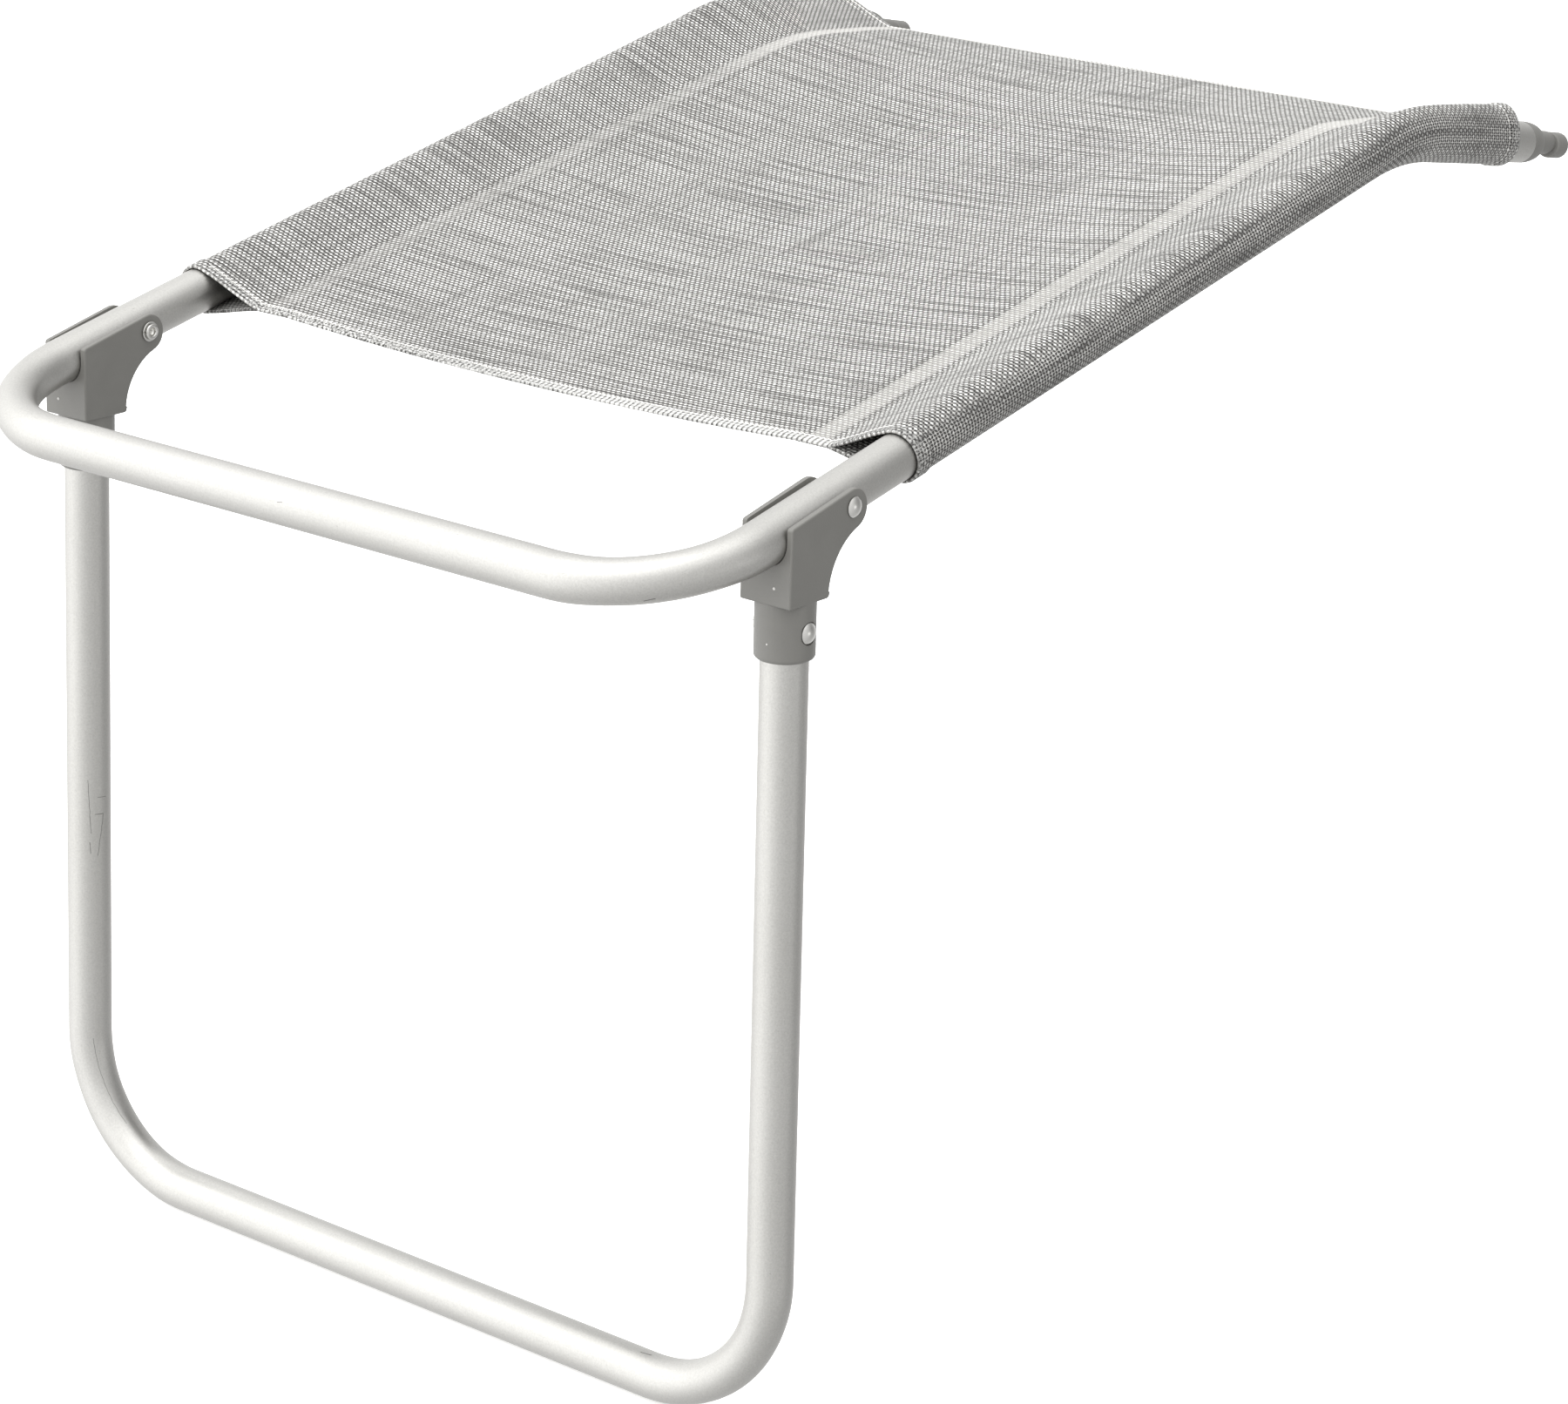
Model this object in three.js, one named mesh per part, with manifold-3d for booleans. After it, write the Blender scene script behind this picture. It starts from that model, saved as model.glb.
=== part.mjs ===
import * as THREE from "three";
import { mergeVertices } from "three/addons/utils/BufferGeometryUtils.js";
import Module from "manifold-3d";

// A folding leg rest that hooks onto the front of a camping chair.
// Millimetres; +X is to the right as seen from the front bar, +Y towards the chair, +Z up.
// The origin lies midway between the two hook pegs, where the chair holds the leg rest.

// How the leg rest stands in use, degrees
const seatRise = 9;
const legLean = 3;
const legSplay = 0.75;
const hookDrop = 21;

// Tube, the same for both frames
const tubeDiameter = 22;
const tubeWall = 1.5;
const tubeSides = 24;
const bendStep = 10;

// Seat frame
const seatWidth = 440;
const seatLength = 584;
const frontCornerRadius = 65;
const rearBendRadius = 170;
const rearBendStep = 3.5;
const hookEndLength = 128;

// Leg frame
const legSetback = 84;
const legLength = 431;
const legCornerRadius = 70;

// Clearances
const fitGap = 0.3;
const cutOverrun = 2;
const weldTolerance = 0.0001;

// Folding bracket
const cheekThickness = 2.9;
const pivotSetback = 29.5;
const lobeRadius = 9.4;
const lobeShift = 0.6;
const lobeDrop = 1.2;
const blockFront = 14.3;
const blockRear = 13.2;
const blockDrop = 32.3;
const rearArcRadius = 30;
const earFrontHeight = 7.2;
const earCornerRadius = 2.5;
const cradleRoof = 3;
const sleeveLength = 27;
const sleeveWall = 2.5;
const sleeveLipRadius = 2.2;
const sleeveLipFacets = 3;
const rivetSeatDepth = 0.9;
const rivetSeatMargin = 0.4;
const outlineSegments = 7;

// Rivets, washers and the bush in the side tube
const rivetShankRadius = 3;
const rivetHeadRadius = 4.8;
const rivetHeadHeight = 2.3;
const rivetHeadFacets = 4;
const rivetRimRadius = 3.9;
const rivetRimHeight = 1.3;
const rivetDimpleRadius = 2.1;
const rivetDimpleDepth = 2.4;
const washerRadius = 5;
const washerThickness = 1;
const bushWall = 1.2;
const smallSides = 20;

// Hook plug
const plugInsertLength = 18;
const plugShoulderLength = 21;
const plugShoulderFacets = 5;
const neckRadius = 6.3;
const neckTipRadius = 5.8;
const neckLength = 10;
const hookHeadRadius = 6.5;
const hookHeadLength = 12;
const hookHeadEdge = 0.9;
const hookLipDrop = 1.6;
const hookLipReach = 0.8;

// Sling
const slingFrontSetback = 163;
const slingRearInset = 21;
const clothThickness = 1;
const pocketReach = 40;
const weldBandWidth = 18;
const weldDrop = 3;
const slingSag = 5;
const rearHemRise = 5;
const rearPocketRise = 7;
const pocketWrapAngle = 110;
const pocketFacets = 12;
const sheetShares = [0, 0.35, 0.7];
const slingStraightShares = [0, 0.5, 1];
const slingRearShares = [0.5, 1];

// Finish of each material
const aluminium = { color: 0xd3d1cc, metalness: 0.9, roughness: 0.38 };
const greyPlastic = { color: 0x7f7e7b, metalness: 0, roughness: 0.55 };
const zincSteel = { color: 0xd9d9d6, metalness: 1, roughness: 0.25 };
const meshCloth = { color: 0xb6b4b0, metalness: 0, roughness: 0.85 };

// Sizes that follow from the ones above
const tubeRadius = tubeDiameter / 2;
const boreRadius = tubeRadius - tubeWall;
const halfWidth = seatWidth / 2;
const channelRadius = tubeRadius + fitGap;
const bracketHalfWidth = channelRadius + cheekThickness;
const sleeveRadius = channelRadius + sleeveWall;
const rivetHoleRadius = rivetShankRadius + fitGap;
const cradleAngle = THREE.MathUtils.degToRad(seatRise + legLean);
const dropAngle = THREE.MathUtils.degToRad(hookDrop);
const splayAngle = THREE.MathUtils.degToRad(legSplay);

const wasm = await Module();
wasm.setup();

// A closed three.js geometry as a solid that can be cut and joined
function toSolid(geometry) {
  const bare = geometry.clone();
  bare.deleteAttribute("normal");
  bare.deleteAttribute("uv");
  const welded = mergeVertices(bare, weldTolerance);
  const mesh = new wasm.Mesh({
    numProp: 3,
    vertProperties: new Float32Array(welded.attributes.position.array),
    triVerts: new Uint32Array(welded.index.array),
  });
  return new wasm.Manifold(mesh);
}

function toGeometry(solid) {
  const mesh = solid.getMesh();
  const geometry = new THREE.BufferGeometry();
  geometry.setAttribute("position", new THREE.BufferAttribute(mesh.vertProperties, 3));
  geometry.setIndex(new THREE.BufferAttribute(mesh.triVerts, 1));
  geometry.computeVertexNormals();
  return geometry;
}

// A round bar along X, used for rivet holes and channels
function barAlongX(radius, length, sides) {
  return new THREE.CylinderGeometry(radius, radius, length, sides).rotateZ(Math.PI / 2);
}

function makeMesh(name, geometry, finish) {
  const mesh = new THREE.Mesh(geometry, new THREE.MeshStandardMaterial(finish));
  mesh.name = name;
  return mesh;
}

// The centreline of a bent tube, kept as stations: straight runs need two, bends need several
class BentRoute extends THREE.Curve {
  constructor(stations) {
    super();
    this.stations = stations;
  }

  station(share) {
    return this.stations[Math.round(share * (this.stations.length - 1))];
  }

  getPointAt(share) {
    return this.station(share).point.clone();
  }

  getTangentAt(share) {
    return this.station(share).tangent.clone();
  }
}

// Stations of a route through the corners, each corner rounded by its own bend radius
function bendStations(corners, radii, steps) {
  const stations = [];
  const first = new THREE.Vector3().subVectors(corners[1], corners[0]).normalize();
  stations.push({ point: corners[0].clone(), tangent: first });
  for (let i = 1; i < corners.length - 1; i++) {
    const into = new THREE.Vector3().subVectors(corners[i], corners[i - 1]).normalize();
    const out = new THREE.Vector3().subVectors(corners[i + 1], corners[i]).normalize();
    const turn = into.angleTo(out);
    const radius = radii[i - 1];
    const start = corners[i].clone().addScaledVector(into, -radius * Math.tan(turn / 2));
    const inward = out.clone().addScaledVector(into, -out.dot(into)).normalize();
    const facets = Math.ceil(THREE.MathUtils.radToDeg(turn) / steps[i - 1]);
    for (let k = 0; k <= facets; k++) {
      const angle = (turn * k) / facets;
      const point = start.clone();
      point.addScaledVector(into, radius * Math.sin(angle));
      point.addScaledVector(inward, radius * (1 - Math.cos(angle)));
      const tangent = into.clone().multiplyScalar(Math.cos(angle));
      tangent.addScaledVector(inward, Math.sin(angle));
      stations.push({ point, tangent });
    }
  }
  const end = corners[corners.length - 1];
  const last = new THREE.Vector3().subVectors(end, corners[corners.length - 2]).normalize();
  stations.push({ point: end.clone(), tangent: last });
  return stations;
}

// A round hollow tube along a route
function bentTube(stations) {
  const ring = new THREE.Shape().absarc(0, 0, tubeRadius, 0, 2 * Math.PI, false);
  ring.holes.push(new THREE.Path().absarc(0, 0, boreRadius, 0, 2 * Math.PI, true));
  return new THREE.ExtrudeGeometry(ring, {
    steps: stations.length - 1,
    curveSegments: tubeSides / 2,
    extrudePath: new BentRoute(stations),
  });
}

// The corner points of the seat tube's right half, in the seat's own frame
const rearCorner = new THREE.Vector3(halfWidth, seatLength, 0);
const hookDirection = new THREE.Vector3(0, Math.cos(dropAngle), -Math.sin(dropAngle));
const tubeEnd = rearCorner.clone().addScaledVector(hookDirection, hookEndLength);

function mirrored(point) {
  return new THREE.Vector3(-point.x, point.y, point.z);
}

// Seat tube, with a cross hole in each side tube for the pivot rivet
function makeSeatTube() {
  const frontCorner = new THREE.Vector3(halfWidth, 0, 0);
  const right = [frontCorner, rearCorner, tubeEnd];
  const corners = [...right.map(mirrored).reverse(), ...right];
  const radii = [rearBendRadius, frontCornerRadius, frontCornerRadius, rearBendRadius];
  const steps = [rearBendStep, bendStep, bendStep, rearBendStep];
  let tube = toSolid(bentTube(bendStations(corners, radii, steps)));
  for (const side of [-1, 1]) {
    const hole = barAlongX(rivetHoleRadius, tubeDiameter + cutOverrun, smallSides);
    hole.translate(side * halfWidth, legSetback + pivotSetback, 0);
    tube = tube.subtract(toSolid(hole));
  }
  return makeMesh("seat_tube", toGeometry(tube), aluminium);
}

// The leg's axis leaves the side tube at the leg frame's origin and leans outward
function legPoint(side, distance) {
  const x = side * (halfWidth + distance * Math.sin(splayAngle));
  return new THREE.Vector3(x, 0, -distance * Math.cos(splayAngle));
}

// The cradle slopes, so the leg's end stays below its lowest edge by the roof's thickness
const legTopDrop = (channelRadius + tubeRadius * Math.sin(cradleAngle)) / Math.cos(cradleAngle) + cradleRoof;
const socketRivetDrop = blockDrop + sleeveLength / 2;

function makeLegTube() {
  const right = [legPoint(1, legTopDrop + fitGap), legPoint(1, legLength)];
  const corners = [...right.map(mirrored), ...[...right].reverse()];
  const radii = [legCornerRadius, legCornerRadius];
  let tube = toSolid(bentTube(bendStations(corners, radii, [bendStep, bendStep])));
  for (const side of [-1, 1]) {
    const hole = barAlongX(rivetHoleRadius, tubeDiameter + cutOverrun, smallSides);
    hole.rotateY(-side * splayAngle);
    hole.translate(...legPoint(side, socketRivetDrop).toArray());
    tube = tube.subtract(toSolid(hole));
  }
  return makeMesh("leg_tube", toGeometry(tube), aluminium);
}

// Where the pivot lies in the bracket's frame, along the sloping side tube
const pivotY = pivotSetback * Math.cos(cradleAngle);
const pivotZ = pivotSetback * Math.sin(cradleAngle);

// Side view of the bracket: block, hollow rear edge, lobe round the pivot and sloping ear top
function bracketOutline() {
  const lobeY = pivotY + lobeShift;
  const lobeZ = pivotZ - lobeDrop;
  const rearArcY = blockRear + rearArcRadius;
  const reach = rearArcRadius + lobeRadius;
  const rearArcZ = lobeZ - Math.sqrt(reach ** 2 - (rearArcY - lobeY) ** 2);
  const toLobe = Math.atan2(lobeZ - rearArcZ, lobeY - rearArcY);
  const earFrontZ = earFrontHeight / Math.cos(cradleAngle) - blockFront * Math.tan(cradleAngle);
  const earDistance = Math.hypot(-blockFront - lobeY, earFrontZ - lobeZ);
  const earDirection = Math.atan2(earFrontZ - lobeZ, -blockFront - lobeY);
  const lobeEnd = earDirection - Math.acos(lobeRadius / earDistance);
  const earSlope = lobeEnd - Math.PI / 2;
  const outline = new THREE.Shape();
  outline.moveTo(-blockFront, -blockDrop);
  outline.lineTo(blockRear, -blockDrop);
  outline.lineTo(blockRear, rearArcZ);
  outline.absarc(rearArcY, rearArcZ, rearArcRadius, Math.PI, toLobe, true);
  outline.absarc(lobeY, lobeZ, lobeRadius, toLobe - Math.PI, lobeEnd, false);
  const topY = -blockFront + earCornerRadius * Math.cos(earSlope);
  const topZ = earFrontZ + earCornerRadius * Math.sin(earSlope);
  outline.lineTo(topY, topZ);
  outline.quadraticCurveTo(-blockFront, earFrontZ, -blockFront, earFrontZ - earCornerRadius);
  outline.closePath();
  return outline;
}

// A side view in Y and Z, extruded along X and centred on it
function extrudeAcross(shape, width) {
  const options = { depth: width, bevelEnabled: false, curveSegments: outlineSegments };
  const geometry = new THREE.ExtrudeGeometry(shape, options);
  geometry.translate(0, 0, -width / 2);
  return geometry.rotateX(Math.PI / 2).rotateZ(Math.PI / 2);
}

// The open channel that the side tube drops into: a half round with straight walls above it
function cradleChannel() {
  const reach = pivotSetback + blockFront + lobeRadius + cutOverrun;
  const round = new THREE.Shape().absarc(0, 0, channelRadius, Math.PI, 2 * Math.PI, false);
  round.lineTo(channelRadius, lobeRadius + channelRadius);
  round.lineTo(-channelRadius, lobeRadius + channelRadius);
  round.closePath();
  const options = { depth: 2 * reach, bevelEnabled: false, curveSegments: tubeSides / 2 };
  const geometry = new THREE.ExtrudeGeometry(round, options);
  geometry.translate(0, 0, -reach).rotateX(Math.PI / 2);
  return geometry.rotateX(cradleAngle);
}

// The space between the two ears behind the block
function earGap() {
  const depth = pivotY + lobeShift + lobeRadius + cutOverrun - blockRear;
  const height = 2 * (blockDrop + lobeRadius);
  const geometry = new THREE.BoxGeometry(2 * channelRadius, depth, height);
  return geometry.translate(0, blockRear + depth / 2, 0);
}

// Sleeve below the block, with a rounded lower lip
function sleeveSolid(top) {
  const bottom = -blockDrop - sleeveLength;
  const profile = [new THREE.Vector2(0, top), new THREE.Vector2(sleeveRadius, top)];
  for (let i = 0; i <= sleeveLipFacets; i++) {
    const angle = (Math.PI / 2) * (i / sleeveLipFacets);
    const radius = sleeveRadius - sleeveLipRadius * (1 - Math.cos(angle));
    profile.push(new THREE.Vector2(radius, bottom + sleeveLipRadius * (1 - Math.sin(angle))));
  }
  profile.push(new THREE.Vector2(0, bottom));
  return new THREE.LatheGeometry(profile.reverse(), tubeSides).rotateX(Math.PI / 2);
}

function makeBracket(side, name) {
  const top = -legTopDrop;
  const block = toSolid(extrudeAcross(bracketOutline(), 2 * bracketHalfWidth));
  const sleeve = toSolid(sleeveSolid(top).rotateY(-side * splayAngle));
  const socketLength = blockDrop + sleeveLength + cutOverrun + top;
  const socket = new THREE.CylinderGeometry(channelRadius, channelRadius, socketLength, tubeSides);
  socket.rotateX(Math.PI / 2).translate(0, 0, top - socketLength / 2).rotateY(-side * splayAngle);
  const pivotHole = barAlongX(rivetHoleRadius, 2 * bracketHalfWidth + cutOverrun, smallSides);
  pivotHole.translate(0, pivotY, pivotZ);
  const socketHole = barAlongX(rivetHoleRadius, 2 * bracketHalfWidth + cutOverrun, smallSides);
  socketHole.translate(0, 0, -socketRivetDrop).rotateY(-side * splayAngle);
  let bracket = block
    .subtract(toSolid(earGap()))
    .add(sleeve)
    .subtract(toSolid(cradleChannel()))
    .subtract(toSolid(socket))
    .subtract(toSolid(pivotHole))
    .subtract(toSolid(socketHole));
  for (const face of [-1, 1]) {
    const flat = barAlongX(washerRadius + rivetSeatMargin, rivetSeatDepth + cutOverrun, smallSides);
    flat.translate(face * (sleeveRadius + cutOverrun / 2 - rivetSeatDepth / 2), 0, -socketRivetDrop);
    bracket = bracket.subtract(toSolid(flat.rotateY(-side * splayAngle)));
  }
  const mesh = makeMesh(name, toGeometry(bracket), greyPlastic);
  mesh.position.x = side * halfWidth;
  return mesh;
}

// Half profile of a semi-tubular rivet: domed head, shank and a clinched rim with a dimple.
// The seat is where the head bears; the grip is the length from there to the rim.
function rivetGeometry(grip) {
  const domeRadius = (rivetHeadRadius ** 2 + rivetHeadHeight ** 2) / (2 * rivetHeadHeight);
  const domeAngle = Math.asin(rivetHeadRadius / domeRadius);
  const rimEnd = -grip - rivetRimHeight;
  const profile = [
    new THREE.Vector2(0, rimEnd + rivetDimpleDepth),
    new THREE.Vector2(rivetDimpleRadius, rimEnd + rivetDimpleDepth),
    new THREE.Vector2(rivetDimpleRadius, rimEnd),
    new THREE.Vector2(rivetRimRadius, rimEnd + rivetRimHeight / 2),
    new THREE.Vector2(rivetRimRadius, -grip),
    new THREE.Vector2(rivetShankRadius, -grip),
    new THREE.Vector2(rivetShankRadius, 0),
    new THREE.Vector2(rivetHeadRadius, 0),
  ];
  for (let i = rivetHeadFacets - 1; i >= 0; i--) {
    const angle = (domeAngle * i) / rivetHeadFacets;
    const height = rivetHeadHeight - domeRadius * (1 - Math.cos(angle));
    profile.push(new THREE.Vector2(domeRadius * Math.sin(angle), height));
  }
  return new THREE.LatheGeometry(profile, smallSides);
}

function ringGeometry(outerRadius, innerRadius, length) {
  const profile = [
    new THREE.Vector2(innerRadius, -length / 2),
    new THREE.Vector2(outerRadius, -length / 2),
    new THREE.Vector2(outerRadius, length / 2),
    new THREE.Vector2(innerRadius, length / 2),
    new THREE.Vector2(innerRadius, -length / 2),
  ];
  return new THREE.LatheGeometry(profile, smallSides);
}

// Rivet and washer across a bracket, head outward, in a group whose Y axis points outward.
// Both seats lie at the given distance from the middle of the bracket.
function makeRivetSet(side, label, kind, seatDistance, tilt) {
  const set = new THREE.Group();
  const grip = 2 * (seatDistance + fitGap) + washerThickness + fitGap;
  const rivet = makeMesh(`${kind}_rivet_${label}`, rivetGeometry(grip), zincSteel);
  rivet.position.y = seatDistance + fitGap;
  const washerRing = ringGeometry(washerRadius, rivetHoleRadius, washerThickness);
  const washer = makeMesh(`${kind}_washer_${label}`, washerRing, zincSteel);
  washer.position.y = -seatDistance - fitGap - washerThickness / 2;
  set.add(rivet, washer);
  set.rotation.set(0, -side * tilt, (-side * Math.PI) / 2);
  return set;
}

// The bush round the pivot rivet, as long as the tube's round bore lets it be
function makePivotSpacer(side, label) {
  const outerRadius = rivetHoleRadius + bushWall;
  const length = 2 * (Math.sqrt(boreRadius ** 2 - outerRadius ** 2) - fitGap);
  const bush = ringGeometry(outerRadius, rivetHoleRadius, length).rotateZ(Math.PI / 2);
  const mesh = makeMesh(`pivot_spacer_${label}`, bush, zincSteel);
  mesh.position.set(side * halfWidth, legSetback + pivotSetback, 0);
  return mesh;
}

// Hook plug: insert in the tube, domed shoulder, tapering neck and an off-centre head.
// Its local Y axis runs out of the tube from the tube's end.
function makeHookPlug(side, label) {
  const profile = [
    new THREE.Vector2(0, -plugInsertLength),
    new THREE.Vector2(boreRadius - fitGap, -plugInsertLength),
    new THREE.Vector2(boreRadius - fitGap, fitGap),
    new THREE.Vector2(tubeRadius, fitGap),
  ];
  for (let i = 0; i <= plugShoulderFacets; i++) {
    const angle = (Math.PI / 2) * (i / plugShoulderFacets);
    const radius = neckRadius + (tubeRadius - neckRadius) * Math.cos(angle);
    const along = tubeWall + (plugShoulderLength - tubeWall) * Math.sin(angle);
    profile.push(new THREE.Vector2(radius, along));
  }
  const neckEnd = plugShoulderLength + neckLength;
  profile.push(new THREE.Vector2(neckTipRadius, neckEnd));
  profile.push(new THREE.Vector2(neckTipRadius, neckEnd + hookHeadEdge));
  profile.push(new THREE.Vector2(0, neckEnd + hookHeadEdge));
  const headEnd = neckEnd + hookHeadLength;
  const headProfile = [
    new THREE.Vector2(0, neckEnd),
    new THREE.Vector2(hookHeadRadius - hookHeadEdge, neckEnd),
    new THREE.Vector2(hookHeadRadius, neckEnd + hookHeadEdge),
    new THREE.Vector2(hookHeadRadius, headEnd - hookHeadEdge),
    new THREE.Vector2(hookHeadRadius - hookHeadEdge, headEnd),
    new THREE.Vector2(0, headEnd),
  ];
  const head = new THREE.LatheGeometry(headProfile, tubeSides);
  head.translate(side * hookLipReach, 0, -hookLipDrop);
  const plug = toSolid(new THREE.LatheGeometry(profile, tubeSides)).add(toSolid(head));
  const mesh = makeMesh(`hook_plug_${label}`, toGeometry(plug), greyPlastic);
  mesh.position.set(side * tubeEnd.x, tubeEnd.y, tubeEnd.z);
  mesh.rotation.x = -dropAngle;
  return mesh;
}

// Cloth between the middle of the sheet and the weld beside a pocket, then round the pocket.
// The chain runs from the bottom of the middle to the top of the middle, on the right side.
function pocketChain(radius, rise, weldHeight, sag, thickness, withSheet) {
  const weldEnd = halfWidth - pocketReach;
  const bandEnd = weldEnd - weldBandWidth;
  const wrap = THREE.MathUtils.degToRad(pocketWrapAngle);
  const arc = [];
  for (let i = 0; i <= pocketFacets; i++) {
    const angle = -wrap + (2 * wrap * i) / pocketFacets;
    const height = Math.sin(angle) * (radius + (angle > 0 ? rise : 0));
    arc.push(new THREE.Vector2(halfWidth + radius * Math.cos(angle), height));
  }
  if (!withSheet) {
    return [new THREE.Vector2(weldEnd + thickness, weldHeight), ...arc];
  }
  const sheet = (half) => {
    const points = sheetShares.map((share) => {
      const height = weldHeight - sag * (1 - share ** 2) + half / 2;
      return new THREE.Vector2(share * bandEnd, height);
    });
    points.push(new THREE.Vector2(bandEnd, weldHeight + half));
    points.push(new THREE.Vector2(weldEnd, weldHeight + half));
    return points;
  };
  return [...sheet(-thickness), ...arc, ...sheet(thickness).reverse()];
}

function mirroredChain(chain) {
  return chain.map((point) => new THREE.Vector2(-point.x, point.y)).reverse();
}

// One cross-section of the sling: its outline and the two pocket openings
function slingSection(share) {
  const ease = share * share * (3 - 2 * share);
  const weldHeight = THREE.MathUtils.lerp(-weldDrop, rearHemRise, ease);
  const sag = slingSag * (1 - ease);
  const rise = rearPocketRise * (1 - (1 - share) ** 2);
  const facetShare = Math.cos(THREE.MathUtils.degToRad(pocketWrapAngle) / pocketFacets);
  const innerRadius = channelRadius / facetShare;
  const outerRadius = innerRadius + clothThickness;
  const right = pocketChain(outerRadius, rise, weldHeight, sag, clothThickness, true);
  const left = mirroredChain(right);
  const pocket = pocketChain(innerRadius, rise, weldHeight, sag, clothThickness, false);
  return {
    outline: [...right.slice(0, -1), ...left.slice(0, -1)],
    pockets: [pocket.reverse(), mirroredChain(pocket)],
  };
}

// Stations of the sling along the side tube: front hem, straight run, bend and rear end
function slingStations() {
  const bendLength = rearBendRadius * Math.tan(dropAngle / 2);
  const bendStart = seatLength - bendLength;
  const stations = slingStraightShares.slice(0, -1).map((share) => {
    const y = THREE.MathUtils.lerp(slingFrontSetback, bendStart, share);
    return { y, z: 0, angle: 0, share: 0 };
  });
  const rearLength = hookEndLength - bendLength - slingRearInset;
  const total = rearBendRadius * dropAngle + rearLength;
  const facets = Math.ceil(hookDrop / rearBendStep);
  for (let k = 0; k <= facets; k++) {
    const angle = (dropAngle * k) / facets;
    const y = bendStart + rearBendRadius * Math.sin(angle);
    const z = -rearBendRadius * (1 - Math.cos(angle));
    stations.push({ y, z, angle, share: (rearBendRadius * angle) / total });
  }
  for (const rearShare of slingRearShares) {
    const along = bendLength + rearLength * rearShare;
    const y = seatLength + along * Math.cos(dropAngle);
    const z = -along * Math.sin(dropAngle);
    const share = (rearBendRadius * dropAngle + rearLength * rearShare) / total;
    stations.push({ y, z, angle: dropAngle, share });
  }
  return stations;
}

// The sling is lofted through its stations and closed by a flat face at each hem
function makeSling() {
  const positions = [];
  const indices = [];
  const rings = slingStations().map((station) => {
    const section = slingSection(station.share);
    return [section.outline, ...section.pockets].map((loop) => {
      return loop.map((point) => {
        const y = station.y + point.y * Math.sin(station.angle);
        const z = station.z + point.y * Math.cos(station.angle);
        positions.push(point.x, y, z);
        return positions.length / 3 - 1;
      });
    });
  });
  for (let s = 0; s < rings.length - 1; s++) {
    rings[s].forEach((loop, l) => {
      const next = rings[s + 1][l];
      loop.forEach((a, i) => {
        const j = (i + 1) % loop.length;
        indices.push(a, next[j], loop[j]);
        indices.push(a, next[i], next[j]);
      });
    });
  }
  const section = slingSection(0);
  const faces = THREE.ShapeUtils.triangulateShape(section.outline, section.pockets);
  const front = rings[0].flat();
  const rear = rings[rings.length - 1].flat();
  for (const [a, b, c] of faces) {
    indices.push(front[a], front[b], front[c]);
    indices.push(rear[a], rear[c], rear[b]);
  }
  const geometry = new THREE.BufferGeometry();
  geometry.setAttribute("position", new THREE.Float32BufferAttribute(positions, 3));
  geometry.setIndex(indices);
  geometry.computeVertexNormals();
  return makeMesh("sling", geometry, meshCloth);
}

const sides = [
  { side: -1, label: "left" },
  { side: 1, label: "right" },
];

// Everything that stays with the seat
const seat = new THREE.Group();
seat.rotation.x = THREE.MathUtils.degToRad(seatRise);
seat.add(makeSeatTube(), makeSling());
for (const { side, label } of sides) {
  seat.add(makeHookPlug(side, label), makePivotSpacer(side, label));
}

// Everything that folds with the legs; its origin is on the side tubes' axis
const leg = new THREE.Group();
const legTop = new THREE.Vector3(0, legSetback, 0).applyEuler(seat.rotation);
leg.position.copy(legTop);
leg.rotation.x = -THREE.MathUtils.degToRad(legLean);
leg.add(makeLegTube());
for (const { side, label } of sides) {
  leg.add(makeBracket(side, `bracket_${label}`));
  const pivotSet = makeRivetSet(side, label, "pivot", bracketHalfWidth, 0);
  pivotSet.position.set(side * halfWidth, pivotY, pivotZ);
  const socketSet = makeRivetSet(side, label, "socket", sleeveRadius - rivetSeatDepth, splayAngle);
  socketSet.position.copy(legPoint(side, socketRivetDrop));
  leg.add(pivotSet, socketSet);
}

// The origin moves to the point between the hook pegs that the chair holds
const holdPoint = tubeEnd.clone().addScaledVector(hookDirection, plugShoulderLength + neckLength / 2);
holdPoint.x = 0;
holdPoint.applyEuler(seat.rotation);
const legRest = new THREE.Group();
legRest.add(seat, leg);
legRest.position.copy(holdPoint).negate();

export default legRest;
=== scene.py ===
import math
from functools import partial

import bmesh
import bpy
from mathutils import Matrix, Vector, noise


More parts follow.
